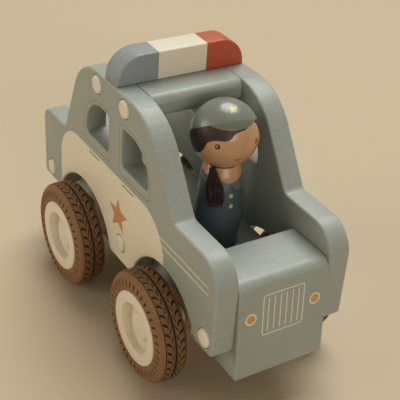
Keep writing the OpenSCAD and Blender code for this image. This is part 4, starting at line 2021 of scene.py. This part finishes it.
    def tie(self) -> Piece:
        """Builds the yarn that is wound round the top of the ponytail.

        Returns:
            The tie.
        """
        draft, place = Draft(), self.at_tail()
        steps, sides = 28, 8
        rings = []
        for k in range(self.tie_turns * steps + 1):
            a = 2 * math.pi * k / steps
            z = -0.35 - 1.5 * k / (self.tie_turns * steps)
            ring = []
            for b in (2 * math.pi * s / sides for s in range(sides)):
                r, rise = self.tie_r + self.tie_yarn_r * math.cos(b), self.tie_yarn_r * math.sin(b)
                ring.append(draft.point(place(r * math.cos(a), r * math.sin(a), z + rise)))
            rings.append(ring)
        draft.tube(rings)
        made = draft.piece("doll_yarn_tie", [self.palette.yarn], crease=80.0)
        return own(made, "doll", "yarn", "doll_hair_tie")

    def build(self) -> None:
        """Builds the doll and dresses its hidden neck pin."""
        self.body()
        self.head()
        self.ponytail()
        self.tie()
        dress("doll_neck_pin", self.palette.maple)


@dataclass
class Studio:
    """The plain pale floor, soft lamps and the camera. Places are in metres."""

    palette: Palette
    floor_reach: float = 4000.0
    eye: Spot = (-0.22196, -0.35722, 0.32929)
    right: Spot = (0.85248, -0.51853, 0.06635)
    up: Spot = (0.24599, 0.50989, 0.82432)
    lens: float = 86.973
    shift: Point = (-0.02022, 0.07521)
    room_light: Colour = (1.0, 0.93, 0.82, 1.0)
    room_strength: float = 0.17
    wall_colour: Colour = (0.62, 0.51, 0.345, 1.0)

    def floor(self) -> None:
        """Lays the floor, which is not part of the toy."""
        draft = Draft()
        signs = ((-1, -1), (1, -1), (1, 1), (-1, 1))
        corners = [draft.point((sx * self.floor_reach, sy * self.floor_reach, 0.0)) for sx, sy in signs]
        draft.face(corners, smooth=False)
        made = draft.piece("floor", [self.palette.floor])

    def lamp(self, name: str, way: Spot, spread: float, strength: float, colour: Spot) -> None:
        """Sets one soft light that reaches every place alike.

        Args:
            name: Name of the light.
            way: Direction that it comes from.
            spread: Angle in degrees over which it comes, for soft shadows.
            strength: Light on a surface that faces it, in watts for each square metre.
            colour: Linear colour of its light.
        """
        light = bpy.data.lights.new(name, "SUN")
        light.angle = math.radians(spread)
        light.energy = strength
        light.color = colour
        made = bpy.data.objects.new(name, light)
        made.location = way
        made.rotation_mode = "QUATERNION"
        made.rotation_quaternion = (-Vector(way)).to_track_quat("-Z", "Y")
        bpy.context.scene.collection.objects.link(made)

    def lights(self) -> None:
        """Sets the three soft lights."""
        self.lamp("window", (0.75, 0.7, 1.9), 42.0, 2.48, (0.98, 1.0, 0.99))
        self.lamp("low_side", (-1.3, 0.6, 0.42), 34.0, 0.92, (1.0, 0.91, 0.76))
        self.lamp("low_front", (-0.2, -1.6, 0.42), 34.0, 0.82, (1.0, 0.94, 0.84))

    def room(self) -> None:
        """Sets the even light of the room, and walls as pale as the floor where the room itself is seen."""
        world = bpy.data.worlds.new("room")
        world.use_nodes = True
        nodes, links = world.node_tree.nodes, world.node_tree.links
        light, wall = nodes["Background"], nodes.new("ShaderNodeBackground")
        light.inputs["Color"].default_value = self.room_light
        light.inputs["Strength"].default_value = self.room_strength
        wall.inputs["Color"].default_value = self.wall_colour
        path = nodes.new("ShaderNodeLightPath")
        seen = path.outputs["Is Camera Ray"]
        for way in ("Is Glossy Ray", "Is Transmission Ray"):
            either = nodes.new("ShaderNodeMath")
            either.operation = "MAXIMUM"
            links.new(seen, either.inputs[0])
            links.new(path.outputs[way], either.inputs[1])
            seen = either.outputs[0]
        mix = nodes.new("ShaderNodeMixShader")
        for socket, source in zip(mix.inputs, (seen, light.outputs[0], wall.outputs[0])):
            links.new(source, socket)
        links.new(mix.outputs[0], nodes["World Output"].inputs["Surface"])
        bpy.context.scene.world = world

    def camera(self) -> None:
        """Sets the camera at the photograph's viewing angle."""
        data = bpy.data.cameras.new("camera")
        data.lens = self.lens
        data.sensor_width = 36.0
        data.shift_x, data.shift_y = self.shift
        data.clip_start, data.clip_end = 0.01, 20.0
        right, up = Vector(self.right).normalized(), Vector(self.up).normalized()
        turn = Matrix((right, up, right.cross(up))).transposed()
        made = bpy.data.objects.new("camera", data)
        made.matrix_world = Matrix.Translation(self.eye) @ turn.to_4x4()
        bpy.context.scene.collection.objects.link(made)
        bpy.context.scene.camera = made

    def build(self) -> None:
        """Sets up the floor, lamps, room, camera and view."""
        self.floor()
        self.lights()
        self.room()
        self.camera()
        bpy.context.scene.view_settings.view_transform = "Standard"


def main() -> None:
    """Builds the toy's sub-assemblies in order, then the studio round it."""
    logging.basicConfig(level=logging.INFO, format="%(name)s: %(message)s")
    palette = Palette()
    SidePanels(palette).build()
    RoofBoard(palette).build()
    EndBlocks(palette).build()
    Underside(palette).build()
    LightBar(palette).build()
    Pegs(palette).build()
    WheelPair(palette, End.FRONT, SidePanels.front_axle_y).build()
    WheelPair(palette, End.REAR, SidePanels.rear_axle_y).build()
    Doll(palette).build()
    Studio(palette).build()


if __name__ == "__main__":
    main()
